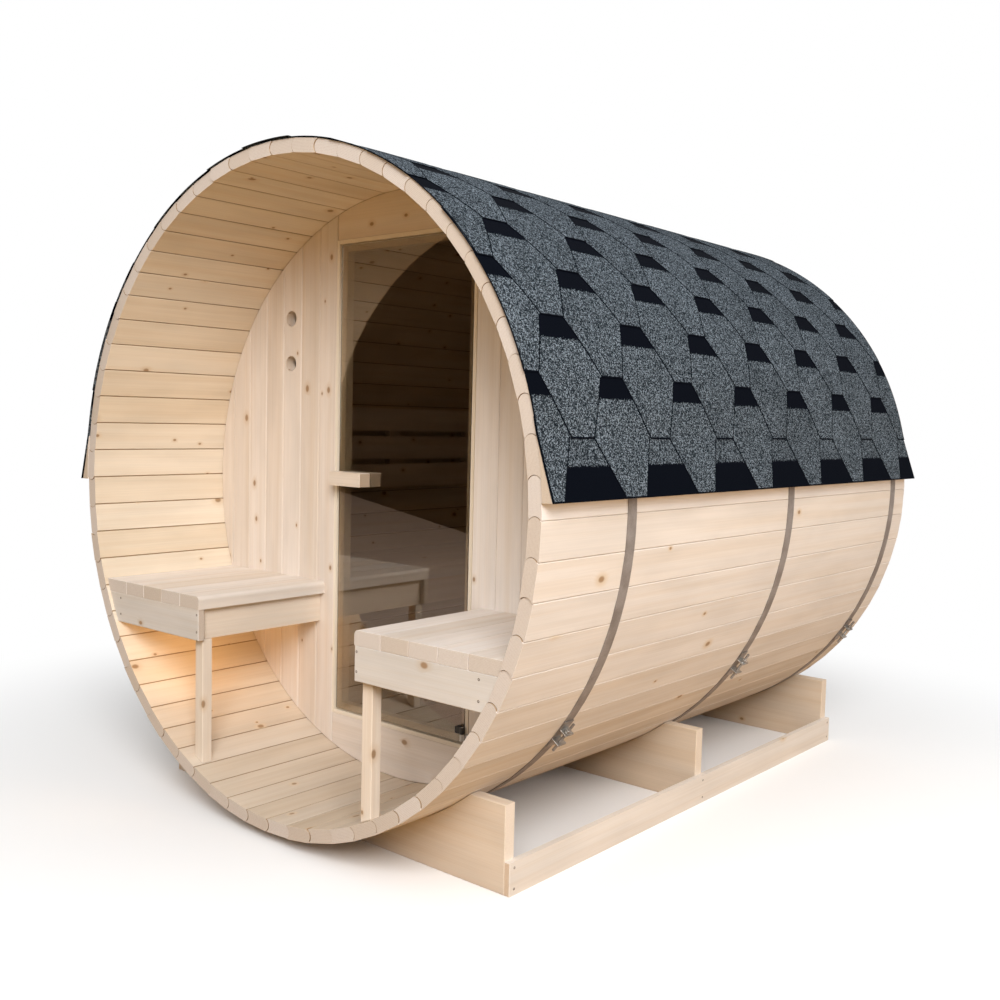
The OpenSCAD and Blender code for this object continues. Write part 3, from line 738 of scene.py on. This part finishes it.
# %% The roof's line and its laths
ROOF_TURN = math.radians(1.4)
EAVE_Z, LATH_H, LATH_T, LATH_THIN, SETTLE = 0.016, 0.142, 0.032, 0.002, 0.018
LATH_ARRIS, LATH_POINTS = 0.0012, 12
EAVE_A = math.asin(EAVE_Z / (R_SEAT + LATH_T))
LATH_A = EAVE_A + 2 * math.asin(LATH_H / 2 / R_SEAT)
SETTLE_A = LATH_A + 2 * math.asin(SETTLE / 2 / R_SEAT)


def polar(radius, angle):
    """A point at a radius and an angle from the roof's right side."""
    return radius * np.array([math.cos(angle), math.sin(angle)])


lath_low, lath_top = polar(R_SEAT + LATH_T, EAVE_A), polar(R_SEAT + LATH_THIN, LATH_A)
lath_line = np.concatenate([[lath_low, lath_top], arc((0, 0), R_SEAT, LATH_A, EAVE_A, LATH_POINTS)])
laths = Timber(340)
for side in (1, -1):
    lath = carry(lath_line * (side, 1), "y", (Y_FRONT, Y_BACK), LATH_ARRIS)
    laths.add(lath, "y", about_axis(ROOF_TURN))
laths.piece("eave_wedge_laths", lath_wood, "lath_wood", ["eave_laths"])

# %% [markdown]
# ## Shingles
# The roof is covered with six-sided bitumen shingles. Each tab is 90 mm wide at its lower edge and 242 mm
# where the next course covers it, and courses are shifted by half a tab. The upper strip of every shingle
# is bare bitumen, which shows as a black patch in the gaps between the tabs above. A flat roof with a
# printed pattern would do from far away, but real sheets give the dark edges, the shadow lines and the
# stepped outline.

# %% The line that the sheets follow
COURSE, TAB = 0.1525, 0.3325
# The last is the width of the black strip along a sheet's rim: raw bitumen and painted shadow of the cut
# edge.
SHEET_T, LIFT, RAW_EDGE_AND_SHADOW = 0.0012, 0.0010, 0.0042
OVERLAP = 2.05
TAR_FROM = 1.61 * COURSE
PAST_RIDGE, ROUND_POINTS, CHORD = 0.2, 100, 0.014
ROUND = np.linspace(SETTLE_A, math.pi / 2 + PAST_RIDGE, ROUND_POINTS)
round_line = R_SEAT * np.column_stack([np.cos(ROUND), np.sin(ROUND)])
roof_line = np.concatenate([[lath_low, lath_top], round_line])
roof_run = np.concatenate([[0], np.cumsum(np.linalg.norm(np.diff(roof_line, axis=0), axis=1))])
RIDGE = float(np.interp(math.pi / 2, ROUND, roof_run[2:]))


def at_run(run):
    """The roof line's point at each distance up from the eave."""
    return np.column_stack([np.interp(run, roof_run, roof_line[:, k]) for k in (0, 1)])


def on_roof(run, lift):
    """Point at a distance up the roof from the eave, raised by lift along the normal.
    The normal is a quarter turn of the chord from 14 mm below to 14 mm above."""
    chord = at_run(run + CHORD) - at_run(run - CHORD)
    normal = np.column_stack([chord[:, 1], -chord[:, 0]]) / np.linalg.norm(chord, axis=1, keepdims=True)
    return at_run(run) + normal * np.asarray(lift)[:, None]


print(f"roof from eave to ridge: {RIDGE:.3f} m, {RIDGE / COURSE:.1f} courses")

# %% Closed sheets
class Sheets:
    """Thin sheets on the roof, gathered into one mesh with the numbers that the material reads."""

    def __init__(self, seed, side):
        self.chance = np.random.default_rng(seed)
        self.side, self.place = side, about_axis(ROOF_TURN)
        self.points, self.faces, self.tar, self.rim, self.tone = [], [], [], [], []
        self.count = 0

    def add(self, run, left, right, lift, tar):
        """One sheet: for each distance up the roof it reaches from y = left to y = right. Top and bottom are
        grids of five columns, the outer ones and the outer rows as narrow as the black rim strip of raw edge
        and painted shadow, and four strips close the sides."""
        strip = np.minimum(RAW_EDGE_AND_SHADOW, (right - left) / 4)
        y = np.column_stack([left, left + strip, (left + right) / 2, right - strip, right])
        rows, columns = y.shape
        levels = []
        for height in (lift + SHEET_T, lift):
            x, z = on_roof(run, height).T
            grid = np.broadcast_arrays(x[:, None] * self.side, y, z[:, None])
            levels.append(np.stack(grid, -1).reshape(-1, 3))
        index = np.arange(y.size).reshape(rows, columns)
        top = np.stack([index[:-1, :-1], index[:-1, 1:], index[1:, 1:], index[1:, :-1]], -1).reshape(-1, 4)
        edge = np.zeros((rows - 1, columns - 1))
        edge[[0, -1]] = edge[:, [0, -1]] = 1
        border = np.concatenate([index[0, :-1], index[:-1, -1], index[-1, :0:-1], index[:0:-1, 0]])
        after = np.roll(border, -1)
        wall = np.column_stack([after, border, border + y.size, after + y.size])
        quads = np.concatenate([top, top[:, ::-1] + y.size, wall])
        points = np.concatenate(levels)
        corner = points[quads]
        spans = np.cross(corner[:, 1] - corner[:, 0], corner[:, 2] - corner[:, 0])
        if np.sum(corner[:, 0] * spans) < 0:
            quads = quads[:, ::-1]
        self.points.append(self.place(points))
        self.faces += (quads + self.count).tolist()
        self.tar.append(np.tile(np.repeat(tar, columns), 2))
        # rim is 1 on the side walls, the raw cut edge, and on the top's outer strip, where the black is
        # painted shadow.
        self.rim.append(np.concatenate([edge.ravel(), np.zeros(len(top)), np.ones(len(wall))]))
        self.tone.append(np.full(len(quads), self.chance.random()))
        self.count += 2 * y.size

    def piece(self, name, material, nodes):
        """Makes the mesh with its tar, rim and tone numbers."""
        mesh = bpy.data.meshes.new(name)
        mesh.from_pydata(np.concatenate(self.points), [], self.faces)
        store(mesh, "tar", "FLOAT", "POINT", self.tar)
        store(mesh, "rim", "FLOAT", "FACE", self.rim)
        store(mesh, "tone", "FLOAT", "FACE", self.tone)
        mesh.materials.append(material)
        return settle(name, mesh, nodes, "sauna")


print("sheets carry their tar, rim and tone")

# %% [markdown]
# Granules are a cell pattern about two and a half millimetres across with a chance grey for each cell. The
# tar number says how far a point lies inside the bare strip, and a little noise frays that border. The rims
# of the sheets are raw bitumen, nearly black, and a narrow strip along each edge on top is painted black
# too, as painted shadow of the cut edge.

# %% The shingle material
GRANULE_DARK = (0.006, 0.008, 0.011, 1)
GRANULE_MID = (0.020, 0.026, 0.032, 1)
GRANULE_PALE = (0.215, 0.252, 0.29, 1)
TAR = (0.0024, 0.0034, 0.0062, 1)


def shingle_coat():
    """Mineral granules over bitumen, bare where tar is above zero."""
    material, tree, surface = shader("slate_granules")
    spot = node(tree, "TexCoord", {})["Object"]
    tar = node(tree, "Attribute", {}, attribute_name="tar")["Fac"]
    rim = node(tree, "Attribute", {}, attribute_name="rim")["Fac"]
    tone = node(tree, "Attribute", {}, attribute_name="tone")["Fac"]
    cell = node(tree, "TexVoronoi", {"Vector": spot, "Scale": 380.0})
    grey = node(tree, "SeparateColor", {0: cell["Color"]})[0]
    light = mix(tree, fade(tree, grey, 0.45, 1.0), GRANULE_MID, GRANULE_PALE)
    dark = mix(tree, fade(tree, grey, 0.0, 0.30), GRANULE_DARK, light)
    patchy = noise(tree, vector(tree, "MULTIPLY", spot, (9, 9, 9)))
    patches = fade(tree, patchy, 0.25, 0.75, 0.88, 1.10)
    shade = calc(tree, "MULTIPLY", patches, fade(tree, tone, 0, 1, 0.92, 1.06))
    granules = vector(tree, "MULTIPLY", dark, shade)
    fray = noise(tree, vector(tree, "MULTIPLY", spot, (260, 260, 260)), 2.0)
    frayed = calc(tree, "MULTIPLY_ADD", calc(tree, "SUBTRACT", fray, 0.5), 0.022, tar)
    # Bare bitumen where the tar strip shows and on the rims; on the top's outer strip this is painted shadow.
    bare = calc(tree, "MAXIMUM", fade(tree, frayed, -0.0008, 0.0008), rim)
    tree.links.new(mix(tree, bare, granules, TAR), surface.inputs["Base Color"])
    tree.links.new(fade(tree, bare, 0, 1, 0.95, 0.75), surface.inputs["Roughness"])
    bump = node(tree, "Bump", {"Height": grey, "Strength": 0.5, "Distance": 0.0008})
    tree.links.new(bump[0], surface.inputs["Normal"])
    surface.inputs["Specular IOR Level"].default_value = 0.01
    return material


slate = shingle_coat()
print("shingle coat: granules, bare strip and dark rims")

# %% [markdown]
# Courses go up from the eave. A sheet lies on the one below it, so its height over the boards falls by one
# lift for each course that it reaches upward. Tabs that run past a gable are cut off there.

# %% Lay the courses
ROOF_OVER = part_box("roof_right_eave")[0].y
TAB_AT = {0: -0.0034, 1: 0.1629}
TAB_DRIFT, SLIP_DOWN, RAGGED = 0.004, 0.005, 0.006
FILM = 0.002
STARTER_TAR = 0.083
TAB_LOW, TAB_HIGH, NECK, TAB_SLIT = 0.045, 0.121, 0.006, 0.0005
STARTER, FIRST_ROW, STARTER_ROWS, TAB_ROWS = 1.3, 0.015, 13, 15


def course_low(course):
    """Distance of a course's drip edge from the eave; all but the first lie a little low."""
    return course * COURSE - (SLIP_DOWN if course else 0)


def lay_courses(sheets):
    """Half widths of a sheet: 45 mm at the drip edge, 121 mm at the next course, then the full strip."""
    def cut_off():
        """Where a course ends at the two gables, each cut by hand and a little short of the full overhang."""
        return (ROOF_OVER, -ROOF_OVER) + np.array([RAGGED, -RAGGED]) * sheets.chance.random(2)

    edges = cut_off()
    run = np.concatenate([[0, RAW_EDGE_AND_SHADOW], np.linspace(FIRST_ROW, COURSE * STARTER, STARTER_ROWS)])
    full = np.ones(len(run))
    rise = LIFT * (OVERLAP - 1 - run / COURSE)
    sheets.add(run, full * edges[0], full * edges[1], np.maximum(rise, 0), STARTER_TAR - run)
    for course in range(int(RIDGE / COURSE) + 1):
        edges = cut_off()
        low = course_low(course)
        top = min(OVERLAP * COURSE, RIDGE - low)
        marks = np.minimum([0, RAW_EDGE_AND_SHADOW, COURSE, COURSE + NECK], top)
        up = np.unique(np.concatenate([np.linspace(0, top, TAB_ROWS), marks]))
        half = np.interp(up, [0, COURSE, COURSE + NECK], [TAB_LOW, TAB_HIGH, TAB / 2 - TAB_SLIT])
        first = Y_FRONT + TAB_AT[course % 2] + TAB_DRIFT * course - TAB
        for centre in np.arange(first, edges[1] + TAB, TAB):
            left, right = np.maximum(centre - half, edges[0]), np.minimum(centre + half, edges[1])
            keep = right - left > FILM
            if keep.sum() > 2:
                lift = LIFT * (OVERLAP - up / COURSE)
                sheets.add(low + up[keep], left[keep], right[keep], lift[keep], up[keep] - TAR_FROM)


for side, name, seed in ((1, "right", 401), (-1, "left", 402)):
    sheets = Sheets(seed, side)
    lay_courses(sheets)
    sheets.piece(f"roof_shingles_{name}", slate, [f"roof_{name}_eave", f"roof_{name}_top"])

# %% [markdown]
# The ridge can't be seen in the photograph. It is finished the plain way: a strip bent over the top, laid
# in lengths of one tab, on the sheets that end there from both sides.

# %% Ridge strip
RIDGE_HALF, RIDGE_ROWS, RIDGE_CLEAR = 0.10, 7, 0.0003
half_rows = np.linspace(0, RIDGE_HALF - FIRST_ROW, RIDGE_ROWS)
half_rows = np.concatenate([half_rows, [RIDGE_HALF - RAW_EDGE_AND_SHADOW, RIDGE_HALF]])
ridge_run = RIDGE + np.concatenate([-half_rows[:0:-1], half_rows])
last_low = course_low(int(RIDGE / COURSE))
below = RIDGE - np.abs(ridge_run - RIDGE) - last_low
ridge_lift = LIFT * (OVERLAP - below / COURSE) + SHEET_T + RIDGE_CLEAR
full = np.ones(len(ridge_run))
ridge = Sheets(403, 1)
for y in np.arange(ROOF_OVER, -ROOF_OVER - FILM, TAB):
    ridge.add(ridge_run, full * y, full * min(y + TAB, -ROOF_OVER), ridge_lift, -full)
ridge.piece("roof_ridge_strip", slate, [])

# %% [markdown]
# ## Steel
# Three flat bands hold the staves, drawn tight by a bolt between two lugs. The band is the CAD solid with a
# dull brown-grey coat. The tensioner is rebuilt: bent lugs, washers, nuts and a bolt with a real thread.

# %% Metal finishes
def metal(name, colour, dull, metallic, roughness, worn=0.5):
    """A metal with blotches of a duller tone and fine scratches."""
    material, tree, surface = shader(name)
    spot = node(tree, "TexCoord", {})["Object"]
    blot = noise(tree, vector(tree, "MULTIPLY", spot, (18, 18, 18)), 4.0)
    fine = noise(tree, vector(tree, "MULTIPLY", spot, (240, 240, 240)), 2.0)
    amount = calc(tree, "MULTIPLY", fade(tree, blot, 0.35, 0.7), worn)
    colours = mix(tree, amount, (*colour, 1), (*dull, 1))
    scratched = vector(tree, "MULTIPLY", colours, fade(tree, fine, 0.2, 0.8, 0.9, 1.06))
    tree.links.new(scratched, surface.inputs["Base Color"])
    tree.links.new(fade(tree, blot, 0.3, 0.7, roughness, roughness + 0.15), surface.inputs["Roughness"])
    surface.inputs["Metallic"].default_value = metallic
    bump = node(tree, "Bump", {"Height": fine, "Strength": 0.1, "Distance": 0.0003})
    tree.links.new(bump[0], surface.inputs["Normal"])
    return material


band_steel = metal("band_brown_grey", (0.28, 0.245, 0.225), (0.17, 0.137, 0.115), 0.0, 0.38, 0.7)
zinc = metal("zinc_plate", (0.42, 0.40, 0.37), (0.20, 0.165, 0.135), 0.9, 0.3, 0.8)
hinge_black = metal("hinge_black_coat", (0.02, 0.02, 0.02), (0.035, 0.033, 0.03), 0.0, 0.4)
screw_steel = metal("screw_steel", (0.22, 0.18, 0.14), (0.12, 0.09, 0.07), 0.6, 0.4)
hinge_zinc = metal("hinge_pale_zinc", (0.62, 0.60, 0.58), (0.45, 0.42, 0.39), 0.3, 0.4)
KEPT = (
    ("steel_bands", band_steel, "band_steel"),
    ("hinge_leaves", hinge_zinc, "zinc_steel"),
    ("hinge_clamps", hinge_black, "hinge_dark"),
)
for name, finish, slot in KEPT:
    mesh = frame["nodes"][name].data
    mesh.materials.clear()
    mesh.materials.append(finish)
print("bands, hinge leaves and clamps keep their solids")

# %% Tensioners
TENSION_A = [math.radians(a) for a in (-38, -34, -34)]
BAND_T, LUG_HALF, LUG_H, LUG_T, BAND_W = 0.0015, 0.019, 0.025, 0.004, 0.038
BOLT_R, BOLT_L, BOLT_SHARE, THREAD, THREAD_DEPTH = 0.004, 0.104, 0.6, 0.0022, 0.13
FOOT, FOOT_T, LUG_INSET, LUG_ARRIS = 0.030, 0.0025, 0.001, 0.0008
NUT_R, NUT_H, WASHER_R, WASHER_T, NUT_ARRIS = 0.0075, 0.007, 0.010, 0.0016, 0.0005
THREAD_ROWS, THREAD_POINTS, NUT_SIDES, WASHER_POINTS = 190, 14, 6, 20
BAND_BACK, BAND_PAST_CRADLE, BAND_BEFORE_CRADLE = 0.360, 0.090, 0.010
band_r = R_CORNER + BAND_T
bolt_x = band_r + BOLT_SHARE * LUG_H
band_ys = (
    Y_FRONT + BAND_BACK,
    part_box("cradle_middle")[0].y + BAND_PAST_CRADLE,
    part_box("cradle_rear")[0].y - BAND_BEFORE_CRADLE - BAND_W / 2,
)


def lug_outline(side):
    """An angle strip: a foot on the band and an upright that the bolt passes."""
    t = side * np.array([LUG_HALF - LUG_T / 2, LUG_HALF + LUG_T / 2, LUG_HALF + FOOT])
    return [(band_r, t[0]), (band_r + LUG_H, t[0]), (band_r + LUG_H, t[1]),
            (band_r + FOOT_T, t[1]), (band_r + FOOT_T, t[2]), (band_r, t[2])]


def threaded_rod():
    """Radius r - d * tri(turn + z / pitch) on a grid of heights and angles, tri being a triangle wave."""
    z = np.linspace(-BOLT_L / 2, BOLT_L / 2, THREAD_ROWS)[:, None]
    a = np.linspace(0, 2 * math.pi, THREAD_POINTS, endpoint=False)[None, :]
    wave = np.abs(((z / THREAD + a / (2 * math.pi)) % 1) * 2 - 1)
    r = BOLT_R * (1 - THREAD_DEPTH * wave)
    points = np.stack([bolt_x + r * np.cos(a), r * np.sin(a), z + 0 * a], -1).reshape(-1, 3)
    i = np.arange(THREAD_ROWS * THREAD_POINTS).reshape(THREAD_ROWS, THREAD_POINTS)
    j = np.roll(i, -1, 1)
    quads = np.stack([i[:-1], j[:-1], j[1:], i[1:]], -1).reshape(-1, 4)
    return points, quads, [i[0, ::-1], i[-1]]


tension = Timber(350)
rod = threaded_rod()
corners = arc((bolt_x, 0), NUT_R, 0, 2 * math.pi, NUT_SIDES + 1)[:-1]
ring = arc((bolt_x, 0), WASHER_R, 0, 2 * math.pi, WASHER_POINTS + 1)[:-1]
lug_half = BAND_W / 2 - LUG_INSET
for y, angle in zip(band_ys, TENSION_A):
    place = about_axis(angle)
    offset = np.array([0, y, 0])
    for side in (1, -1):
        lug = carry(lug_outline(side), "y", (y - lug_half, y + lug_half), LUG_ARRIS)
        tension.add(lug, "y", place)
        washer_at = side * (LUG_HALF + LUG_T / 2)
        nut_at = washer_at + side * WASHER_T
        for outline, start, thick in ((ring, washer_at, WASHER_T), (corners, nut_at, NUT_H)):
            points, quads, ends = carry(outline, "z", sorted((start, start + side * thick)), NUT_ARRIS)
            tension.add((points + offset, quads, ends), "z", place)
    tension.add((rod[0] + offset, rod[1], rod[2]), "z", place)
tension.piece("band_tension_bolts", zinc, "zinc_steel", ["band_tensioners"])

# %% [markdown]
# ## Screws
# Small screw heads hold the bench fronts and the rails. A head is a profile turned about its axis, with a
# shallow recess in the middle. They are the only fastenings that the photograph shows clearly.

# %% Screw heads
HEAD_R = np.array([0.0002, 0.0011, 0.0014, 0.0031, 0.0035, 0.0035])
HEAD_H = np.array([-0.0007, -0.0007, 0.0001, 0.0004, 0.0001, -0.0012])
HEAD_POINTS = 14
FRONT_SCREWS, SCREW_DOWN, SCREW_UP = (0.352, 0.771, -0.352, -0.771), 0.016, 0.026
RAIL_SCREWS = (0.017, 0.072)


def screw_head(centre, out, across):
    """Turned profile: centre + out * h + r (across cos a + up sin a), up being out x across."""
    up = np.cross(out, across)
    a = np.linspace(0, 2 * math.pi, HEAD_POINTS, endpoint=False)
    turn = np.cos(a)[:, None] * across + np.sin(a)[:, None] * up
    points = centre + HEAD_H[:, None, None] * out + HEAD_R[:, None, None] * turn[None]
    i = np.arange(len(HEAD_R) * HEAD_POINTS).reshape(-1, HEAD_POINTS)
    j = np.roll(i, -1, 1)
    quads = np.stack([i[1:], j[1:], j[:-1], i[:-1]], -1).reshape(-1, 4)
    return points.reshape(-1, 3), quads, [i[0], i[-1, ::-1]]


screws = Timber(360)
front, right = np.array([0.0, -1.0, 0.0]), np.array([1.0, 0.0, 0.0])
along = np.array([0.0, 1.0, 0.0])
for x in FRONT_SCREWS:
    for z in (front_hi.z - SCREW_DOWN, front_lo.z + SCREW_UP):
        screws.add(screw_head(np.array([x, front_lo.y, z]), front, right), "z")
for name in CRADLES:
    lo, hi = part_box(name)
    for z in RAIL_SCREWS:
        for side, x in ((1, rail_hi.x), (-1, rail_lo.x)):
            screws.add(screw_head(np.array([x, (lo.y + hi.y) / 2, z]), right * side, along), "z")
screws.piece("screw_heads", screw_steel, "zinc_steel", [])

# %% [markdown]
# ## Glass
# The door is one sheet of bronze glass. It mirrors the porch about as strongly as it lets the cabin
# through, which a high index of refraction gives: the sheet's two faces are parallel, so nothing is shifted
# by it. Faint wiping marks vary its roughness.

# %% The tinted door
def bronze_glass():
    """Clear glass that takes its brown from the shader's own colour."""
    material, tree, surface = shader("bronze_glass")
    surface.inputs["Base Color"].default_value = (0.80, 0.72, 0.60, 1)
    surface.inputs["IOR"].default_value = 2.0
    surface.inputs["Transmission Weight"].default_value = 1.0
    spot = node(tree, "TexCoord", {})["Object"]
    wiped = noise(tree, vector(tree, "MULTIPLY", spot, (9, 9, 3)), 4.0)
    tree.links.new(fade(tree, wiped, 0.45, 0.8, 0.0, 0.05), surface.inputs["Roughness"])
    return material


glass = frame["nodes"]["door_glass"]
glass.data.materials.clear()
glass.data.materials.append(bronze_glass())
print("door glass:", [round(v, 3) for v in glass.dimensions])

# %% [markdown]
# ## Stage
# The floor is pale and fades to white with distance. The sky is white for the camera and for mirrors, and
# weaker as a light, most of all near the horizon, so that a colour renders about as it is written. To the
# light that bounces, the floor is a warm ground, which tints the barrel's ceiling, and the door mirrors it
# as brown ground that darkens with distance. A dark card stands where the door would otherwise mirror the
# bright room, as photographers do with glass.

# %% World and floor
SKY_LOW, SKY_HIGH = 0.30, 0.60
PALE_FLOOR, WARM_GROUND = (0.94, 0.94, 0.94, 1), (0.44, 0.27, 0.10, 1)
WHITE_FROM, WHITE_FULL, DARKER_FROM, DARKER_FULL = 1.4, 2.8, 3.0, 11.0
MIRRORED, MIRRORED_FAR = (0.62, 0.46, 0.37, 1), (0.34, 0.25, 0.20, 1)
world = bpy.data.worlds.new("white_room")
bpy.context.scene.world = world
world.use_nodes = True
sky = world.node_tree
sky.nodes.clear()
rays = node(sky, "LightPath", {})
mirrored = calc(sky, "MAXIMUM", rays["Is Glossy Ray"], rays["Is Transmission Ray"])
unbounced = calc(sky, "LESS_THAN", rays["Diffuse Depth"], 0.5)
seen = calc(sky, "MULTIPLY", calc(sky, "MAXIMUM", rays["Is Camera Ray"], mirrored), unbounced)
toward = node(sky, "SeparateXYZ", {0: node(sky, "TexCoord", {})["Generated"]})
as_light = fade(sky, toward[2], -0.1, 0.7, SKY_LOW, SKY_HIGH)
strength = calc(sky, "MAXIMUM", seen, as_light)
room = node(sky, "Background", {"Color": WHITE, "Strength": strength})
sky.links.new(room[0], sky.nodes.new("ShaderNodeOutputWorld").inputs[0])


def floor_finish():
    """Pale near the object and white further out for the camera, warm for light that bounces."""
    material, tree, surface = shader("pale_floor")
    surface.inputs["Roughness"].default_value = 0.9
    surface.inputs["Specular IOR Level"].default_value = 0.0
    paths = node(tree, "LightPath", {})
    through = calc(tree, "MAXIMUM", paths["Is Camera Ray"], paths["Is Transmission Ray"])
    bounced, reflected = paths["Diffuse Depth"], paths["Glossy Depth"]
    straight = calc(tree, "LESS_THAN", calc(tree, "ADD", bounced, reflected), 0.5)
    looked = calc(tree, "MULTIPLY", through, straight)
    mirrored = calc(tree, "GREATER_THAN", calc(tree, "SUBTRACT", reflected, bounced), 0.5)
    distance = vector(tree, "LENGTH", node(tree, "TexCoord", {})["Object"])
    in_mirror = mix(tree, fade(tree, distance, DARKER_FROM, DARKER_FULL), MIRRORED, MIRRORED_FAR)
    unseen = mix(tree, mirrored, WARM_GROUND, in_mirror)
    tree.links.new(mix(tree, looked, unseen, PALE_FLOOR), surface.inputs["Base Color"])
    far = fade(tree, distance, WHITE_FROM, WHITE_FULL)
    glow = node(tree, "Emission", {"Color": WHITE, "Strength": 1.0})[0]
    white = calc(tree, "MULTIPLY", far, looked)
    both = node(tree, "MixShader", {0: white, 1: surface.outputs[0], 2: glow})[0]
    output = next(n for n in tree.nodes if n.type == "OUTPUT_MATERIAL")
    tree.links.new(both, output.inputs[0])
    return material


def stage_sheet(name, corners, material):
    """A flat four-cornered sheet that isn't part of the object."""
    mesh = bpy.data.meshes.new(name)
    mesh.from_pydata(corners, [], [(0, 1, 2, 3)])
    mesh.materials.append(material)
    made = bpy.data.objects.new(name, mesh)
    bpy.context.scene.collection.objects.link(made)
    return made


FAR = 30.0
CARD_Y, CARD_TOP, CARD_LEFT, CARD_RIGHT = -4, 5, -9, -1.6
CARD_LOW_LEFT, CARD_LOW_RIGHT = 1.39, 0.19
card_low = [(CARD_LEFT, CARD_Y, CARD_LOW_LEFT), (CARD_RIGHT, CARD_Y, CARD_LOW_RIGHT)]
card_high = [(CARD_RIGHT, CARD_Y, CARD_TOP), (CARD_LEFT, CARD_Y, CARD_TOP)]
stage_sheet("floor", [(-FAR, -FAR, 0), (FAR, -FAR, 0), (FAR, FAR, 0), (-FAR, FAR, 0)], floor_finish())
card_paint, _, card_surface = shader("dark_card")
card_surface.inputs["Base Color"].default_value = (0.012, 0.009, 0.006, 1)
card_surface.inputs["Roughness"].default_value = 1.0
card_surface.inputs["Specular IOR Level"].default_value = 0.0
card = stage_sheet("dark_card", card_low + card_high, card_paint)
card.visible_camera = False
card.visible_diffuse = False
card.visible_shadow = False
print("stage: floor and dark card")

# %% [markdown]
# ## Lamps
# A large soft lamp at the front right gives the main light, and a weaker one reaches the barrel's side.
# More lamps would flatten the round form. Two faint warm lamps stand in for light that has bounced many
# times: one in the cabin, so that the glass looks brown and not black, and one under the left bench.
# Neither shows itself to the camera or in a mirror.

# %% Lamps
def soft_lamp(name, place, target, size, watts):
    """A square area lamp that looks at a point."""
    lamp = bpy.data.lights.new(name, "AREA")
    lamp.size = size
    lamp.energy = watts
    made = bpy.data.objects.new(name, lamp)
    bpy.context.scene.collection.objects.link(made)
    made.location = place
    made.rotation_euler = (Vector(target) - Vector(place)).to_track_quat("-Z", "Y").to_euler()
    return made


soft_lamp("key", (4.5, -4.95, 4.7), (0, -0.3, 0.9), 3.5, 515)
soft_lamp("side", (6.5, 1.0, 2.2), (0.9, 0.2, 0.9), 3.0, 95)
glow = soft_lamp("cabin_glow", (-0.1, left_hi.y + 0.5, AXIS_Z + 0.65), (-0.5, 0.3, AXIS_Z), 0.25, 0.15)
glow.data.color = (1.0, 0.62, 0.36)
PATCH_L, PATCH_W, PATCH_SHARE, PATCH_IN, PATCH_REACH, PATCH_DOWN = 0.26, 0.05, 0.4, 0.10, 0.76, 0.09
under_y = front_lo.y + PATCH_SHARE * (wall_y[0] - front_lo.y)
under = (-knee - PATCH_IN, under_y, front_lo.z)
patch = soft_lamp("bench_glow", under, (-PATCH_REACH, under_y, front_lo.z - PATCH_DOWN), PATCH_L, 0.5)
patch.data.shape = "RECTANGLE"
patch.data.size_y = PATCH_W
patch.data.color = (1.0, 0.55, 0.20)
for lamp in (glow, patch):
    lamp.visible_camera = False
    lamp.visible_glossy = False
    lamp.visible_transmission = False
print("a soft key lamp, a weaker one from the side and two faint glows, in the cabin and under a bench")

# %% [markdown]
# ## Camera
# The photograph's camera was solved from the barrel's two rings, the roof lines and the cradle. It stands
# right of the porch a little above the axis, and is rolled by just over a degree.

# %% The photograph's view
EYE = Vector((2.4238, -2.9703, 1.2034))
YAW, TILT, ROLL = (math.radians(v) for v in (40.2003, -4.2175, 1.3839))
FOCAL_PX, IMAGE_PX, SENSOR = 1096.97, 1000, 36.0
ahead = math.cos(TILT)
look = Vector((-math.sin(YAW) * ahead, math.cos(YAW) * ahead, math.sin(TILT)))
level = Vector((math.cos(YAW), math.sin(YAW), 0))
top = level.cross(look)
side_axis = level * math.cos(ROLL) + top * math.sin(ROLL)
up_axis = top * math.cos(ROLL) - level * math.sin(ROLL)
camera = bpy.data.objects.new("camera", bpy.data.cameras.new("camera"))
bpy.context.scene.collection.objects.link(camera)
camera.data.sensor_width = SENSOR
camera.data.lens = FOCAL_PX / IMAGE_PX * SENSOR
camera.matrix_world = Matrix.Translation(EYE) @ Matrix((side_axis, up_axis, -look)).transposed().to_4x4()
bpy.context.scene.camera = camera
bpy.context.scene.view_settings.view_transform = "Standard"
print(f"camera with a {camera.data.lens:.1f} mm lens")
